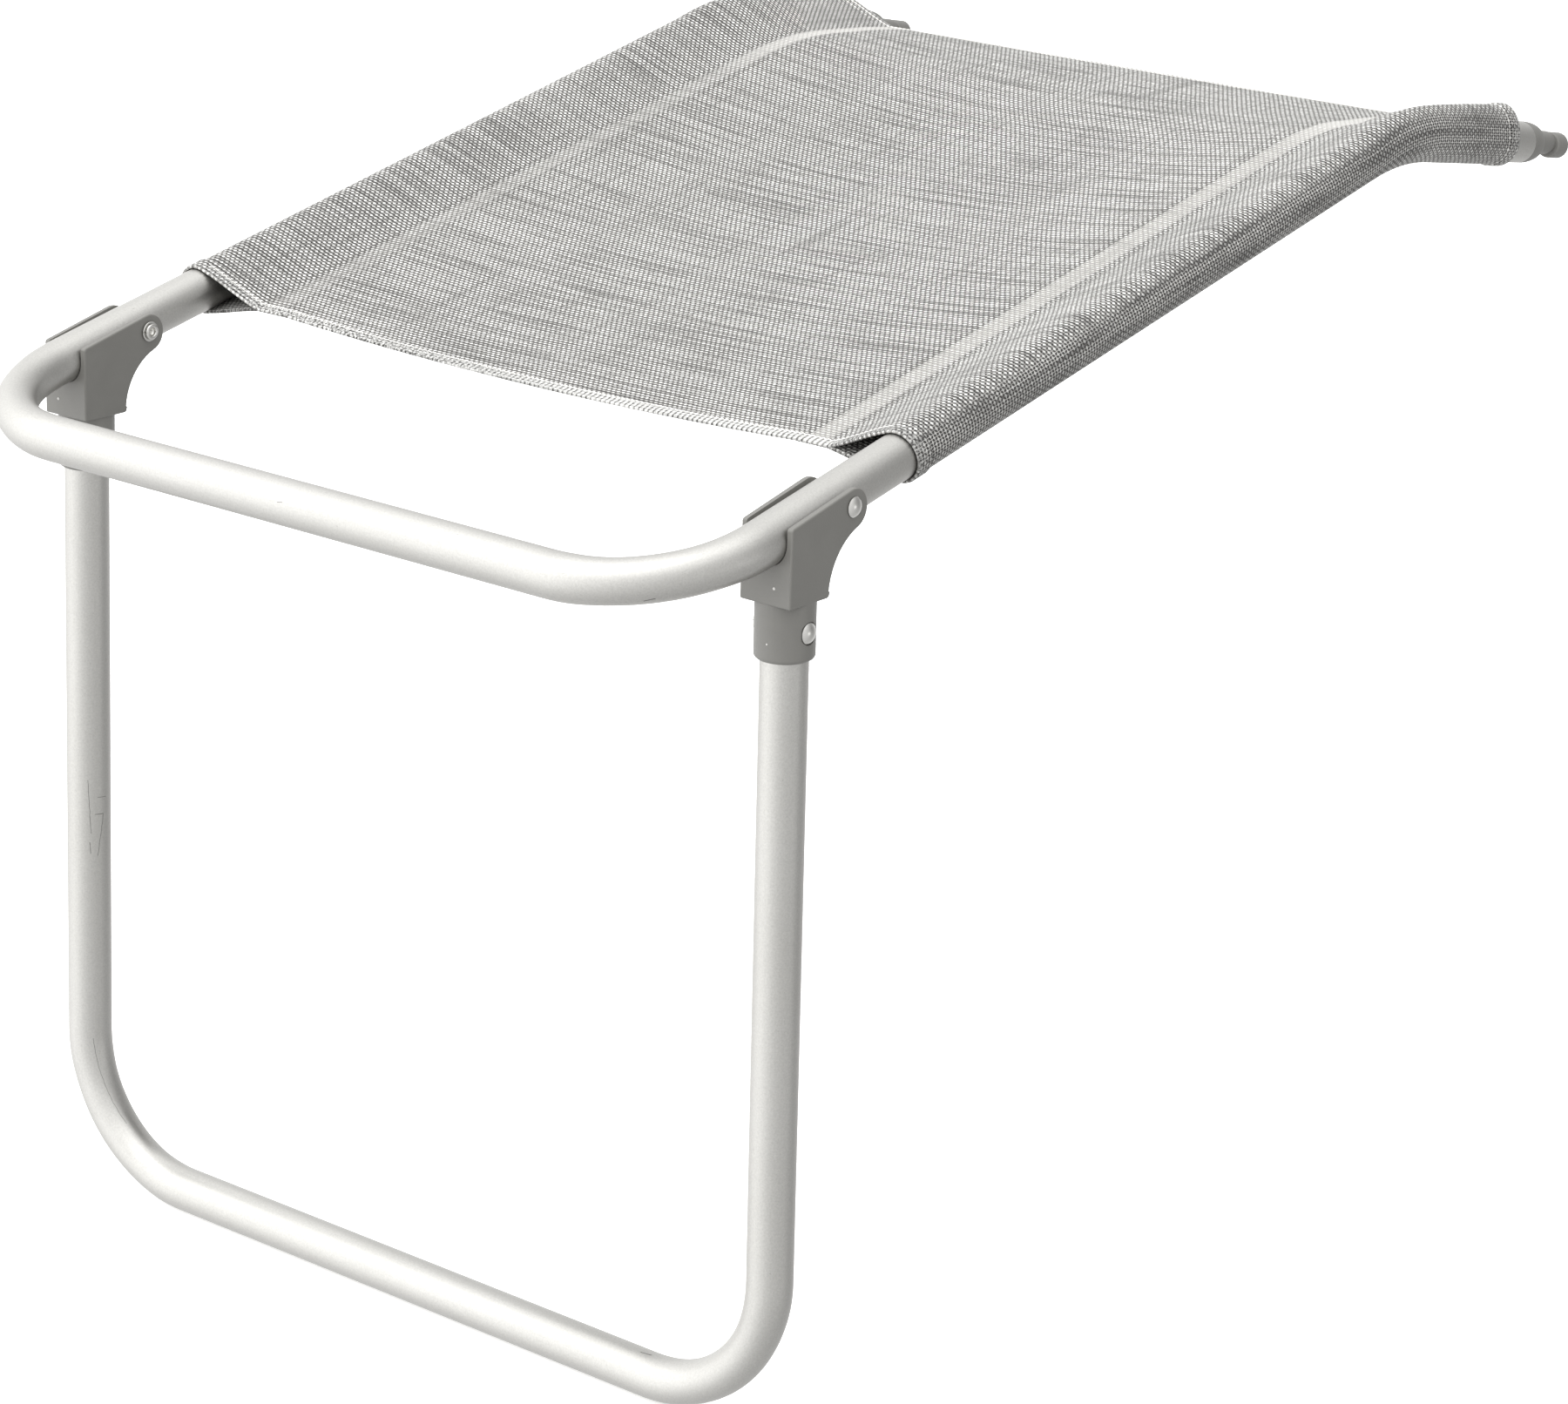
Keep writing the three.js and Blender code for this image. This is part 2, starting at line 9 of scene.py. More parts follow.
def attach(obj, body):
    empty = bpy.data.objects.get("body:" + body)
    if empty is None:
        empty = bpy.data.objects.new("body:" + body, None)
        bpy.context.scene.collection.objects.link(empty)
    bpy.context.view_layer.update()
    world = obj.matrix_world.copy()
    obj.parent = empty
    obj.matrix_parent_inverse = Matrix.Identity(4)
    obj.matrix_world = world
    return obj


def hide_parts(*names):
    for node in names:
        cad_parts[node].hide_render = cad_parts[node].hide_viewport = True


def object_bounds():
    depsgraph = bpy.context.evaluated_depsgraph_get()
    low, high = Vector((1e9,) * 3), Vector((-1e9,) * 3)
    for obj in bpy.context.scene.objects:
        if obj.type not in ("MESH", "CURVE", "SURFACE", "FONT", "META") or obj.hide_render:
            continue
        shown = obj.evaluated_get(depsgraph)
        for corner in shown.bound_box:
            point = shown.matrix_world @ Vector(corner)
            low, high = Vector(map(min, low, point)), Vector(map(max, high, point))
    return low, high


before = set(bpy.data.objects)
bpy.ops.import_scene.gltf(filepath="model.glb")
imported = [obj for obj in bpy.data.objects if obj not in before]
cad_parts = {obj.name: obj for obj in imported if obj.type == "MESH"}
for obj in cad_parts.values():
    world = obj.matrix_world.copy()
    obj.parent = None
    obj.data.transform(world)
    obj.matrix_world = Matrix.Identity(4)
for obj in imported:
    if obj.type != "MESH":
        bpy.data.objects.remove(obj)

# Folding leg rest for a camping chair: bent tube frame, stretched mesh sling, folding U-shaped leg.
# Sizes in the dictionaries are millimetres and degrees, the scene itself is in metres.

cadLow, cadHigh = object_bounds()
mm = 0.001
leftAndRight = ((-1, "Left"), (1, "Right"))

stance = {
    "seatRise": 9, "legLean": 3, "legSplay": 0.75, "hookDrop": 21,
    "halfWidth": 220, "seatLength": 584, "hookEndLength": 128,
    "legSetback": 84, "legLength": 431, "pegMiddle": 26,
}


# Small helpers

def turnX(degrees):
    return Matrix.Rotation(math.radians(degrees), 4, "X")


def smoothStep(low, high, value):
    share = min(1.0, max(0.0, (value - low) / (high - low)))
    return share * share * (3 - 2 * share)


def mix(a, b, share):
    return a + (b - a) * share


# Turns an sRGB hex colour into the linear one that shaders work in
def hexColour(text):
    def linear(part):
        value = int(part, 16) / 255
        return value / 12.92 if value <= 0.04045 else ((value + 0.055) / 1.055) ** 2.4
    return (linear(text[1:3]), linear(text[3:5]), linear(text[5:7]), 1.0)


# Adds a shader node: settings go to its sockets or options, links come from other nodes
def addNode(tree, kind, settings=None, links=None):
    made = tree.nodes.new("ShaderNode" + kind)
    for name, value in (settings or {}).items():
        if isinstance(name, int) or name in made.inputs:
            made.inputs[name].default_value = value
        else:
            setattr(made, name, value)
    for name, source in (links or {}).items():
        output = source if isinstance(source, bpy.types.NodeSocket) else source.outputs[0]
        tree.links.new(output, made.inputs[name])
    return made


# An empty material, and the function that adds a node to it
def newMaterial(name):
    material = bpy.data.materials.new(name)
    material.use_nodes = True
    material.node_tree.nodes.clear()
    return material, partial(addNode, material.node_tree)


def newObject(name, meshMaker, material, smoothAngle=35):
    mesh = bpy.data.meshes.new(name)
    meshMaker.normal_update()
    meshMaker.to_mesh(mesh)
    meshMaker.free()
    mesh.materials.append(material)
    finishShading(mesh, smoothAngle)
    made = bpy.data.objects.new(name, mesh)
    bpy.context.scene.collection.objects.link(made)
    return made


def finishShading(mesh, smoothAngle):
    mesh.polygons.foreach_set("use_smooth", [True] * len(mesh.polygons))
    mesh.set_sharp_from_angle(angle=math.radians(smoothAngle))


# Puts the result of the modifiers into the mesh, so that none is left on the piece
def bakeModifiers(piece):
    graph = bpy.context.evaluated_depsgraph_get()
    baked = bpy.data.meshes.new_from_object(piece.evaluated_get(graph))
    piece.modifiers.clear()
    old = piece.data
    piece.data = baked
    bpy.data.meshes.remove(old)


# Welds stray points and cuts many-sided faces into even triangles, which shade cleanly
def tidyFaces(mesh):
    work, tiny = bmesh.new(), 0.004 * mm
    work.from_mesh(mesh)
    bmesh.ops.remove_doubles(work, verts=work.verts, dist=tiny)
    bmesh.ops.dissolve_degenerate(work, edges=work.edges, dist=tiny)
    many = [face for face in work.faces if len(face.verts) > 4]
    bmesh.ops.triangulate(work, faces=many, ngon_method="BEAUTY")
    work.to_mesh(mesh)
    work.free()


def joinOrCut(piece, others, operation):
    for other in others:
        modifier = piece.modifiers.new("solid", "BOOLEAN")
        modifier.operation = operation
        modifier.solver = "MANIFOLD"
        modifier.object = other
    bakeModifiers(piece)
    for other in others:
        bpy.data.objects.remove(other)


# Faces from rows of points; each row can close on itself, and the rows can close on each other
def gridFaces(meshMaker, rows, closeAcross=False, closeAlong=False, flip=False):
    count = len(rows[0])
    lastRow = len(rows) if closeAlong else len(rows) - 1
    lastPoint = count if closeAcross else count - 1
    for i in range(lastRow):
        for j in range(lastPoint):
            a, b = rows[i][j], rows[i][(j + 1) % count]
            c, d = rows[(i + 1) % len(rows)][(j + 1) % count], rows[(i + 1) % len(rows)][j]
            corners = [a, d, c, b] if flip else [a, b, c, d]
            corners = [v for k, v in enumerate(corners) if v not in corners[:k]]
            if len(corners) > 2:
                meshMaker.faces.new(corners)


# A solid from closed rows of points in metres, with a lid at either end
def liddedSolid(rows):
    meshMaker = bmesh.new()
    made = [[meshMaker.verts.new(point) for point in row] for row in rows]
    gridFaces(meshMaker, made, closeAcross=True)
    meshMaker.faces.new(made[0])
    meshMaker.faces.new(made[-1][::-1])
    bmesh.ops.recalc_face_normals(meshMaker, faces=meshMaker.faces)
    return meshMaker


# A turned solid round the local Z axis from (radius, height) points, in millimetres
def turnedSolid(profile, sides, place, ring=False):
    meshMaker = bmesh.new()
    rows = []
    for radius, height in profile:
        if radius < 1e-6:
            middle = meshMaker.verts.new(place @ Vector((0, 0, height * mm)))
            rows.append([middle] * sides)
            continue
        row = []
        for k in range(sides):
            angle = 2 * math.pi * k / sides
            point = Vector((radius * math.cos(angle), radius * math.sin(angle), height)) * mm
            row.append(meshMaker.verts.new(place @ point))
        rows.append(row)
    gridFaces(meshMaker, rows, closeAcross=True, closeAlong=ring)
    bmesh.ops.recalc_face_normals(meshMaker, faces=meshMaker.faces)
    return meshMaker


# Points on an arc, for outlines and the rounded edges of profiles
def arcPoints(centre, radius, fromAngle, toAngle, steps):
    points = []
    for k in range(steps + 1):
        angle = math.radians(mix(fromAngle, toAngle, k / steps))
        points.append((centre[0] + radius * math.cos(angle), centre[1] + radius * math.sin(angle)))
    return points


# Where the two frames stand

hookAngle = math.radians(stance["hookDrop"])
hookWay = Vector((0, math.cos(hookAngle), -math.sin(hookAngle)))
rearCorner = Vector((0, stance["seatLength"], 0)) * mm
tubeEnd = rearCorner + hookWay * stance["hookEndLength"] * mm
holdPoint = turnX(stance["seatRise"]) @ (tubeEnd + hookWay * stance["pegMiddle"] * mm)
seatPlace = Matrix.Translation(-holdPoint) @ turnX(stance["seatRise"])
legTop = seatPlace @ Vector((0, stance["legSetback"] * mm, 0))
legPlace = Matrix.Translation(legTop) @ turnX(-stance["legLean"])
print("frames placed, leg top at", [round(v, 4) for v in legTop])


# Camera, floor and light

camera = {
    "place": (1.41428, -2.14148, 0.59974),
    "right": (0.78127087, 0.62419212, -0.00017),
    "up": (-0.22151766, 0.27752058, 0.93483274),
    "back": (0.58356298, -0.73031947, 0.35508832),
    "lens": 106.54, "sensor": 36,
}


def makeCamera():
    data = bpy.data.cameras.new("photoCamera")
    data.lens = camera["lens"]
    data.sensor_width = camera["sensor"]
    data.sensor_fit = "HORIZONTAL"
    data.clip_end = 200
    made = bpy.data.objects.new("photoCamera", data)
    turn = Matrix((camera["right"], camera["up"], camera["back"])).transposed()
    made.matrix_world = Matrix.Translation(Vector(camera["place"])) @ turn.to_4x4()
    bpy.context.scene.collection.objects.link(made)
    bpy.context.scene.camera = made


# The room is white all round, and each lobe is a light in it: direction, strength, focus.
studio = {
    "floorSize": 80000, "floorColour": "#fbfbfa", "floorGlow": 0.4, "roomDim": 0.52, "tint": "#ffffff",
    "lobes": (
        # a large softbox low at the front left, with its brighter middle, and the ceiling
        ((-0.68, -0.65, 0.34), 0.64, 1.0), ((-0.68, -0.65, 0.34), 1.12, 4.0), ((0.0, -0.1, 1.0), 1.5, 9.0),
        # a window at the right, the pale wall round it, and a pale wall far behind
        ((0.96, 0.24, -0.1), 0.75, 130.0), ((1.0, -0.1, 0.05), 0.24, 4.0), ((-0.45, 0.8, -0.36), 0.32, 5.0),
        # a darker part of the room behind at the right, which the side tubes mirror
        ((0.5, 0.75, 0.32), -0.3, 7.0),
    ),
}


def makeStudio():
    # white acrylic sheet lit from below as for catalogue photographs: no shadow shows on it
    material, add = newMaterial("backlitWhiteAcrylic")
    spot = add("TexCoord").outputs["Object"]
    peel = add("TexNoise", {"Scale": 160.0}, {"Vector": spot})
    bump = add("Bump", {"Strength": 0.04, "Distance": 0.0004}, {"Height": peel})
    sheet = add("BsdfPrincipled", {
        "Base Color": hexColour(studio["floorColour"]), "Roughness": 0.75, "Specular IOR Level": 0.2,
        "Emission Color": hexColour(studio["floorColour"]), "Emission Strength": studio["floorGlow"],
    }, {"Normal": bump})
    add("OutputMaterial", None, {"Surface": sheet})
    meshMaker = bmesh.new()
    half = studio["floorSize"] * mm / 2
    corners = [(-half, -half), (half, -half), (half, half), (-half, half)]
    meshMaker.faces.new([meshMaker.verts.new((x, y, cadLow.z)) for x, y in corners])
    floor = newObject("studioFloor", meshMaker, material)
    floor.visible_diffuse = False
    floor.visible_glossy = False

    world = bpy.data.worlds.new("studioRoom")
    world.use_nodes = True
    bpy.context.scene.world = world
    bpy.context.scene.view_settings.view_transform = "Standard"
    room = world.node_tree
    add = partial(addNode, room)
    way = add("TexCoord").outputs["Generated"]
    light = None
    for towards, strength, focus in studio["lobes"]:
        facing = add("VectorMath", {"operation": "DOT_PRODUCT", 1: Vector(towards).normalized()}, {0: way})
        near = add("MapRange", {1: -1.0, 2: 1.0}, {0: facing.outputs["Value"]})
        narrow = add("Math", {"operation": "POWER", 1: focus}, {0: near})
        settings = {"operation": "MULTIPLY_ADD", 1: strength, 2: studio["roomDim"]}
        light = add("Math", settings, {0: narrow} | ({2: light} if light else {}))
    sky = room.nodes["Background"]
    sky.inputs["Color"].default_value = hexColour(studio["tint"])
    room.links.new(light.outputs[0], sky.inputs["Strength"])


makeCamera()
makeStudio()
print("camera, floor and light made")


# Materials

aluminiumFinish = {
    "colour": "#c5c4c1", "deep": "#bdbcb8", "worn": "#b9b7b2", "scar": "#6b6a67",
    "roughness": 0.4, "grainMm": 0.9, "scratchMm": 14, "wanderMm": 0.9, "scarDepth": 0.85, "scarCore": 0.4,
}
# handling scars as lines between two points: length along the tube, place round it, both ends, half width
seatScars = ((1102.5, 66.6, 1106.5, 65.8, 0.5), (905, 55, 908, 54.6, 0.2))
legScars = (
    (204.5, 52.5, 233, 51.0, 0.2), (238, 51.6, 244, 51.2, 0.22), (223.5, 44.2, 245.5, 47.6, 0.22),
    (214, 47.3, 214.5, 42.5, 0.2), (223, 48.8, 223.3, 44.3, 0.26), (346, 50.5, 402, 47.5, 0.16),
    (759, 45.6, 765, 45, 0.4),
)


def anodisedAluminium(name, scars):
    # drawn tube, etched and anodised: satin, with faint lengthwise grain and small handling marks
    finish = aluminiumFinish
    material, add = newMaterial(name)
    spot = add("TexCoord").outputs["Object"]
    along = add("UVMap", {"uv_map": "length"})
    cloud = add("TexNoise", {"Scale": 9.0, "Detail": 3.0}, {"Vector": spot})
    # grain lines run along the tube, so the pattern is long in the length direction
    stretched = add("Mapping", {"Scale": (18.0, 1000 / finish["grainMm"], 1.0)}, {"Vector": along})
    grain = add("TexNoise", {"Scale": 1.0, "Detail": 4.0, "Roughness": 0.6}, {"Vector": stretched})
    rubbed = add("Mapping", {"Scale": (22.0, 1000 / finish["scratchMm"], 1.0)}, {"Vector": along})
    marks = add("TexNoise", {"Scale": 6.0, "Detail": 6.0, "Roughness": 0.75, "Distortion": 0.6}, {
        "Vector": rubbed,
    })
    scratch = add("MapRange", {1: 0.66, 2: 0.74}, {0: marks})
    # etching pits are some hundredths of a millimetre, drawn twenty times as coarse so that they show
    pits = add("TexNoise", {"Scale": 1100.0, "Roughness": 0.7}, {"Vector": spot})
    speckle = add("MapRange", {1: 0.3, 2: 0.7, 3: 0.9, 4: 1.05}, {0: pits})
    tone = add("Mix", {
        "data_type": "RGBA", 6: hexColour(finish["deep"]), 7: hexColour(finish["colour"]),
    }, {0: cloud})
    worn = add("Mix", {"data_type": "RGBA", "blend_type": "MULTIPLY", 7: hexColour(finish["worn"])}, {
        0: scratch, 6: tone.outputs[2],
    })
    # the scars are scratched through the anodised skin and look dark
    wobble = add("TexNoise", {"Scale": 260.0}, {"Vector": along})
    unsteady = add("VectorMath", {"operation": "MULTIPLY_ADD", 1: (0, finish["wanderMm"] * mm, 0)}, {
        0: wobble.outputs["Color"], 2: along,
    })
    for fromLength, fromGirth, toLength, toGirth, halfWide in scars:
        start = Vector((fromLength, fromGirth, 0)) * mm
        way = Vector((toLength, toGirth, 0)) * mm - start
        away = add("VectorMath", {"operation": "SUBTRACT", 1: start}, {0: unsteady})
        share = add("VectorMath", {"operation": "DOT_PRODUCT", 1: way / way.length_squared}, {0: away})
        inside = add("Clamp", None, {"Value": share.outputs["Value"]})
        offLine = add("VectorMath", {"operation": "MULTIPLY_ADD", 1: -way}, {0: inside, 2: away})
        gap = add("VectorMath", {"operation": "LENGTH"}, {0: offLine})
        core, rim = halfWide * mm * finish["scarCore"], halfWide * mm
        scar = add("MapRange", {1: core, 2: rim, 3: finish["scarDepth"], 4: 0.0}, {0: gap.outputs["Value"]})
        worn = add("Mix", {"data_type": "RGBA", 7: hexColour(finish["scar"])}, {0: scar, 6: worn.outputs[2]})
    etched = add("VectorMath", {"operation": "SCALE"}, {0: worn.outputs[2], "Scale": speckle})
    gloss = add("MapRange", {
        1: 0.2, 2: 0.8, 3: finish["roughness"] - 0.05, 4: finish["roughness"] + 0.08,
    }, {0: grain})
    relief = add("Bump", {"Strength": 0.12, "Distance": 0.0002}, {"Height": grain})
    metal = add("BsdfPrincipled", {"Metallic": 1.0}, {
        "Base Color": etched, "Roughness": gloss, "Normal": relief,
    })
    add("OutputMaterial", None, {"Surface": metal})
    return material


# each nylon by its light and dark colour and its roughness
nylonFinish = {
    "sparkMm": 0.7, "bracket": ("#7a7975", "#706f6b", 0.36), "plug": ("#7f7e7a", "#6f6e6b", 0.48),
    "gate": ("#e4e3df", "#c9c8c4", 0.55),
}


def mouldedNylon(name, light, dark, roughness):
    # glass filled nylon from a spark eroded mould: an even satin grain with faint flow clouds
    material, add = newMaterial(name)
    spot = add("TexCoord").outputs["Object"]
    flow = add("TexNoise", {"Scale": 42.0, "Detail": 3.0, "Distortion": 0.8}, {"Vector": spot})
    # real grain is about 0.1 mm, drawn seven times as coarse so that it shows
    grain = add("TexNoise", {"Scale": 1000 / nylonFinish["sparkMm"]}, {"Vector": spot})
    tone = add("Mix", {"data_type": "RGBA", 6: hexColour(dark), 7: hexColour(light)}, {0: flow})
    gloss = add("MapRange", {1: 0.3, 2: 0.7, 3: roughness - 0.05, 4: roughness + 0.07}, {0: grain})
    relief = add("Bump", {"Strength": 0.16, "Distance": 0.0002}, {"Height": grain})
    plastic = add("BsdfPrincipled", {"IOR": 1.53}, {
        "Base Color": tone.outputs[2], "Roughness": gloss, "Normal": relief,
    })
    add("OutputMaterial", None, {"Surface": plastic})
    return material


steelFinish = {"colour": "#d9d8d5", "dull": "#c9c8c4", "roughness": 0.1, "grainMm": 2.6}


def zincPlatedSteel():
    # cold headed rivet steel under bright zinc: mirror-like with soft waves and slightly dull patches
    material, add = newMaterial("zincPlatedSteel")
    finish = steelFinish
    spot = add("TexCoord").outputs["Object"]
    waves = add("TexNoise", {"Scale": 1000 / finish["grainMm"], "Detail": 3.0}, {"Vector": spot})
    tone = add("Mix", {
        "data_type": "RGBA", 6: hexColour(finish["dull"]), 7: hexColour(finish["colour"]),
    }, {0: waves})
    gloss = add("MapRange", {
        1: 0.3, 2: 0.7, 3: finish["roughness"] - 0.03, 4: finish["roughness"] + 0.08,
    }, {0: waves})
    relief = add("Bump", {"Strength": 0.05, "Distance": 0.0001}, {"Height": waves})
    metal = add("BsdfPrincipled", {"Metallic": 1.0}, {
        "Base Color": tone.outputs[2], "Roughness": gloss, "Normal": relief,
    })
    add("OutputMaterial", None, {"Surface": metal})
    return material


clothFinish = {
    "beadMm": 2.96, "rowMm": 2.14, "beadWideMm": 1.75, "beadLongMm": 1.75, "holeShare": 0.36,
    "sway": (0.0014, 0.0045, 0.0), "shake": (0.0006, 0.0005, 0.0), "roughness": 0.6,
    "dimCover": 0.85, "weldCover": 0.45, "shadeCover": 0.6,
    # shadeGround and shadeThread paint shade on the pockets' outer sides; shadeGround also darkens the hem's
    # speckle
    "colours": {
        # the hole colour and the pockets' darker gap colour are painted shade, seen into the open weave
        "bead": "#fffffc", "ground": "#b9b7b3", "hole": "#2a2826", "weld": "#dddbd7", "weldDull": "#b3b1ad",
        "weldLine": "#4a4845", "shadeGround": "#2c2a28", "pocketGapShade": "#242322", "shadeThread": "#e6e4e0",
        "dimLine": "#454341",
    },
}


def coatedPolyesterMesh(cloth):
    # vinyl coated polyester yarn, woven and heat set: white beads of weft stand in staggered rows
    # on a grey ground with small dark gaps, painted shade seen into the open weave, here and there a row
    # or warp is dim, the welded bands are pressed smooth and carry a painted sheen, and the pockets' outer
    # sides are painted in shade: a dark ground that hides the beads and shows only the thin grid of the
    # ground
    finish = clothFinish
    colour = {name: hexColour(text) for name, text in finish["colours"].items()}
    times, unsigned, inColour = {"operation": "MULTIPLY"}, {"operation": "ABSOLUTE"}, {"data_type": "RGBA"}
    flatNoise = {"noise_dimensions": "2D", "Scale": 1.0, "Detail": 1.0}
    evenCells = {"voronoi_dimensions": "2D", "Scale": 1.0, "Randomness": 0.0}
    beadPitch, rowPitch = finish["beadMm"] * mm, finish["rowMm"] * mm
    material, add = newMaterial("coatedPolyesterMesh")
    flat = add("UVMap", {"uv_map": "cloth"})
    # rows and warps are slightly wavy, as the loom and the stretching left them, and no bead sits quite true
    wave = add("TexNoise", flatNoise | {"Scale": 7.0, "Detail": 0.0}, {"Vector": flat})
    swayed = add("VectorMath", {"operation": "MULTIPLY_ADD", 1: finish["sway"]}, {
        0: wave.outputs["Color"], 2: flat,
    })
    shake = add("TexNoise", flatNoise | {"Scale": 190.0}, {"Vector": flat})
    drift = add("VectorMath", {"operation": "MULTIPLY_ADD", 1: finish["shake"]}, {
        0: shake.outputs["Color"], 2: swayed,
    })

    # beads: a square lattice turned by 45 degrees and stretched gives the staggered rows
    root, eighth = math.sqrt(2), math.pi / 4
    acrossScale, alongScale = root / beadPitch, root / (2 * rowPitch)
    lattice = add("Mapping", {"Rotation": (0, 0, eighth), "Scale": (acrossScale, alongScale, 1)}, {
        "Vector": drift,
    })
    cells = add("TexVoronoi", evenCells, {"Vector": lattice})
    offset = add("VectorMath", {"operation": "SUBTRACT"}, {0: lattice, 1: cells.outputs["Position"]})
    upright = add("Mapping", {"vector_type": "VECTOR", "Rotation": (0, 0, -eighth)}, {"Vector": offset})
    beadHalf = (finish["beadWideMm"] * mm * acrossScale / 2, finish["beadLongMm"] * mm * alongScale / 2)
    shaped = add("VectorMath", {"operation": "MULTIPLY", 1: (1 / beadHalf[0], 1 / beadHalf[1], 0)}, {
        0: upright,
    })
    reach = add("VectorMath", {"operation": "LENGTH"}, {0: shaped})
    bead = add("MapRange", {"interpolation_type": "SMOOTHSTEP", 1: 1.15, 2: 0.7}, {0: reach.outputs["Value"]})
    chance = add("SeparateColor", None, {0: cells.outputs["Color"]})

    # gaps between the threads: one in the middle of every four crossings
    crossing = add("Mapping", {"Location": (0.5, 0.5, 0), "Scale": (2 / beadPitch, 1 / rowPitch, 1)}, {
        "Vector": drift,
    })
    squares = add("TexVoronoi", evenCells | {"distance": "CHEBYCHEV"}, {"Vector": crossing})
    fromThread = squares.outputs["Distance"]
    hole = add("MapRange", {1: finish["holeShare"] + 0.12, 2: finish["holeShare"] - 0.1}, {0: fromThread})

    # slack rows show as thin dim lines across the cloth, tight warps as dim lines along it
    acrossLines = add("Mapping", {"Scale": (11.0, 700.0, 1)}, {"Vector": drift})
    slack = add("TexNoise", flatNoise, {"Vector": acrossLines})
    slackRow = add("MapRange", {1: 0.56, 2: 0.61}, {0: slack})
    alongLines = add("Mapping", {"Scale": (430.0, 7.0, 1)}, {"Vector": drift})
    tight = add("TexNoise", flatNoise, {"Vector": alongLines})
    tightWarp = add("MapRange", {1: 0.62, 2: 0.68, 4: 0.5}, {0: tight})
    # every row has a thin dark slit above it, stronger where the row is slack
    rowParts = add("SeparateXYZ", None, {0: crossing})
    slitAway = add("Math", {"operation": "PINGPONG", 1: 0.5}, {0: rowParts.outputs["Y"]})
    slit = add("MapRange", {1: 0.14, 2: 0.3, 3: 1.0, 4: 0.0}, {0: slitAway})
    slitDepth = add("MapRange", {1: 0.4, 2: 0.57, 3: 0.35}, {0: slack})
    rowSlit = add("Math", times, {0: slit, 1: slitDepth})
    slackSlit = add("Math", {"operation": "MULTIPLY_ADD", 1: 0.6}, {0: slackRow, 2: rowSlit})
    dim = add("Math", {"operation": "MAXIMUM", "use_clamp": True}, {0: slackSlit, 1: tightWarp})

    # places along the section: the pressed weld, its two edges, and the pockets' shaded outer side
    parts = add("SeparateXYZ", None, {0: flat})
    across, along = parts.outputs["X"], parts.outputs["Y"]
    side = add("Math", unsigned, {0: across})
    fromMiddle = add("Math", {"operation": "SUBTRACT", 1: cloth["weldMiddle"]}, {0: side})
    weldAway = add("Math", unsigned, {0: fromMiddle})
    band = add("MapRange", {
        "interpolation_type": "SMOOTHSTEP", 1: cloth["weldHalf"] + 0.0025, 2: cloth["weldHalf"] - 0.0045,
    }, {0: weldAway})
    # painted sheen: both weld bands are drawn lighter towards the rear bend, and the right one a little
    # lighter than the left before it
    rightSide = add("MapRange", {1: -0.02, 2: 0.02, 4: 0.35}, {0: across})
    atBend = add("MapRange", {1: cloth["shineStart"], 2: cloth["shineFull"]}, {0: along})
    shine = add("Math", {"operation": "MAXIMUM"}, {0: rightSide, 1: atBend})
    weldSheenShare = add("MapRange", {2: 0.35, 3: 0.35}, {0: shine})
    weld = add("Math", times, {0: band, 1: weldSheenShare})
    # the bar of the welder left fine dark lines along both edges of the band
    edgeAway = add("Math", {"operation": "SUBTRACT", 1: cloth["weldHalf"] + 0.0008}, {0: weldAway})
    edgeSize = add("Math", unsigned, {0: edgeAway})
    repeated = add("Math", {"operation": "PINGPONG", 1: 0.0012}, {0: edgeSize})
    onEdge = add("MapRange", {1: 0.0021, 2: 0.0024, 3: 1.0, 4: 0.0}, {0: edgeSize})
    edgeLine = add("MapRange", {1: 0.0003, 2: 0.0007, 4: 0.75}, {0: repeated})
    weldLine = add("Math", times, {0: onEdge, 1: edgeLine})
    # painted shade: from shadeStart on, the pockets' outer sides get a dark ground, hidden beads and closed
    # gaps, easing off lower down
    shadeFrom = add("MapRange", {1: cloth["shadeStart"], 2: cloth["shadeStart"] + 0.004}, {0: side})
    shadeTo = add("MapRange", {
        1: cloth["shadeEnd"], 2: cloth["shadeEnd"] + 0.005, 3: 1.0, 4: 0.45,
    }, {0: side})
    outer = add("Math", times, {0: shadeFrom, 1: shadeTo})
    hemAway = add("Math", {"operation": "PINGPONG", 1: cloth["length"] / 2}, {0: along})
    hem = add("MapRange", {1: cloth["hem"] + 0.0004, 2: cloth["hem"] - 0.0004}, {0: hemAway})

    # how white each bead is: uneven from bead to bead and from patch to patch, and less on dim rows,
    # on the weld, more where its sheen is painted, and on the outer side, where shade is painted
    alive = add("MapRange", {2: 0.5, 3: 0.6}, {0: chance.outputs[0]})
    patch = add("TexNoise", flatNoise | {"Scale": 42.0, "Detail": 3.0, "Roughness": 0.6}, {"Vector": flat})
    patchy = add("MapRange", {1: 0.3, 2: 0.6, 3: 0.8}, {0: patch})
    lit = add("Math", times, {0: alive, 1: patchy})
    shown = add("Math", times, {0: bead, 1: lit})
    for cover, share in ((dim, "dimCover"), (weld, "weldCover"), (outer, "shadeCover")):
        bare = add("Math", {"operation": "MULTIPLY_ADD", 1: -finish[share], 2: 1.0}, {0: cover})
        shown = add("Math", times, {0: shown, 1: bare})
    # the last of the three covers, the painted shade of the outer side, closes the gaps as well
    opening = add("Math", times, {0: hole, 1: bare})

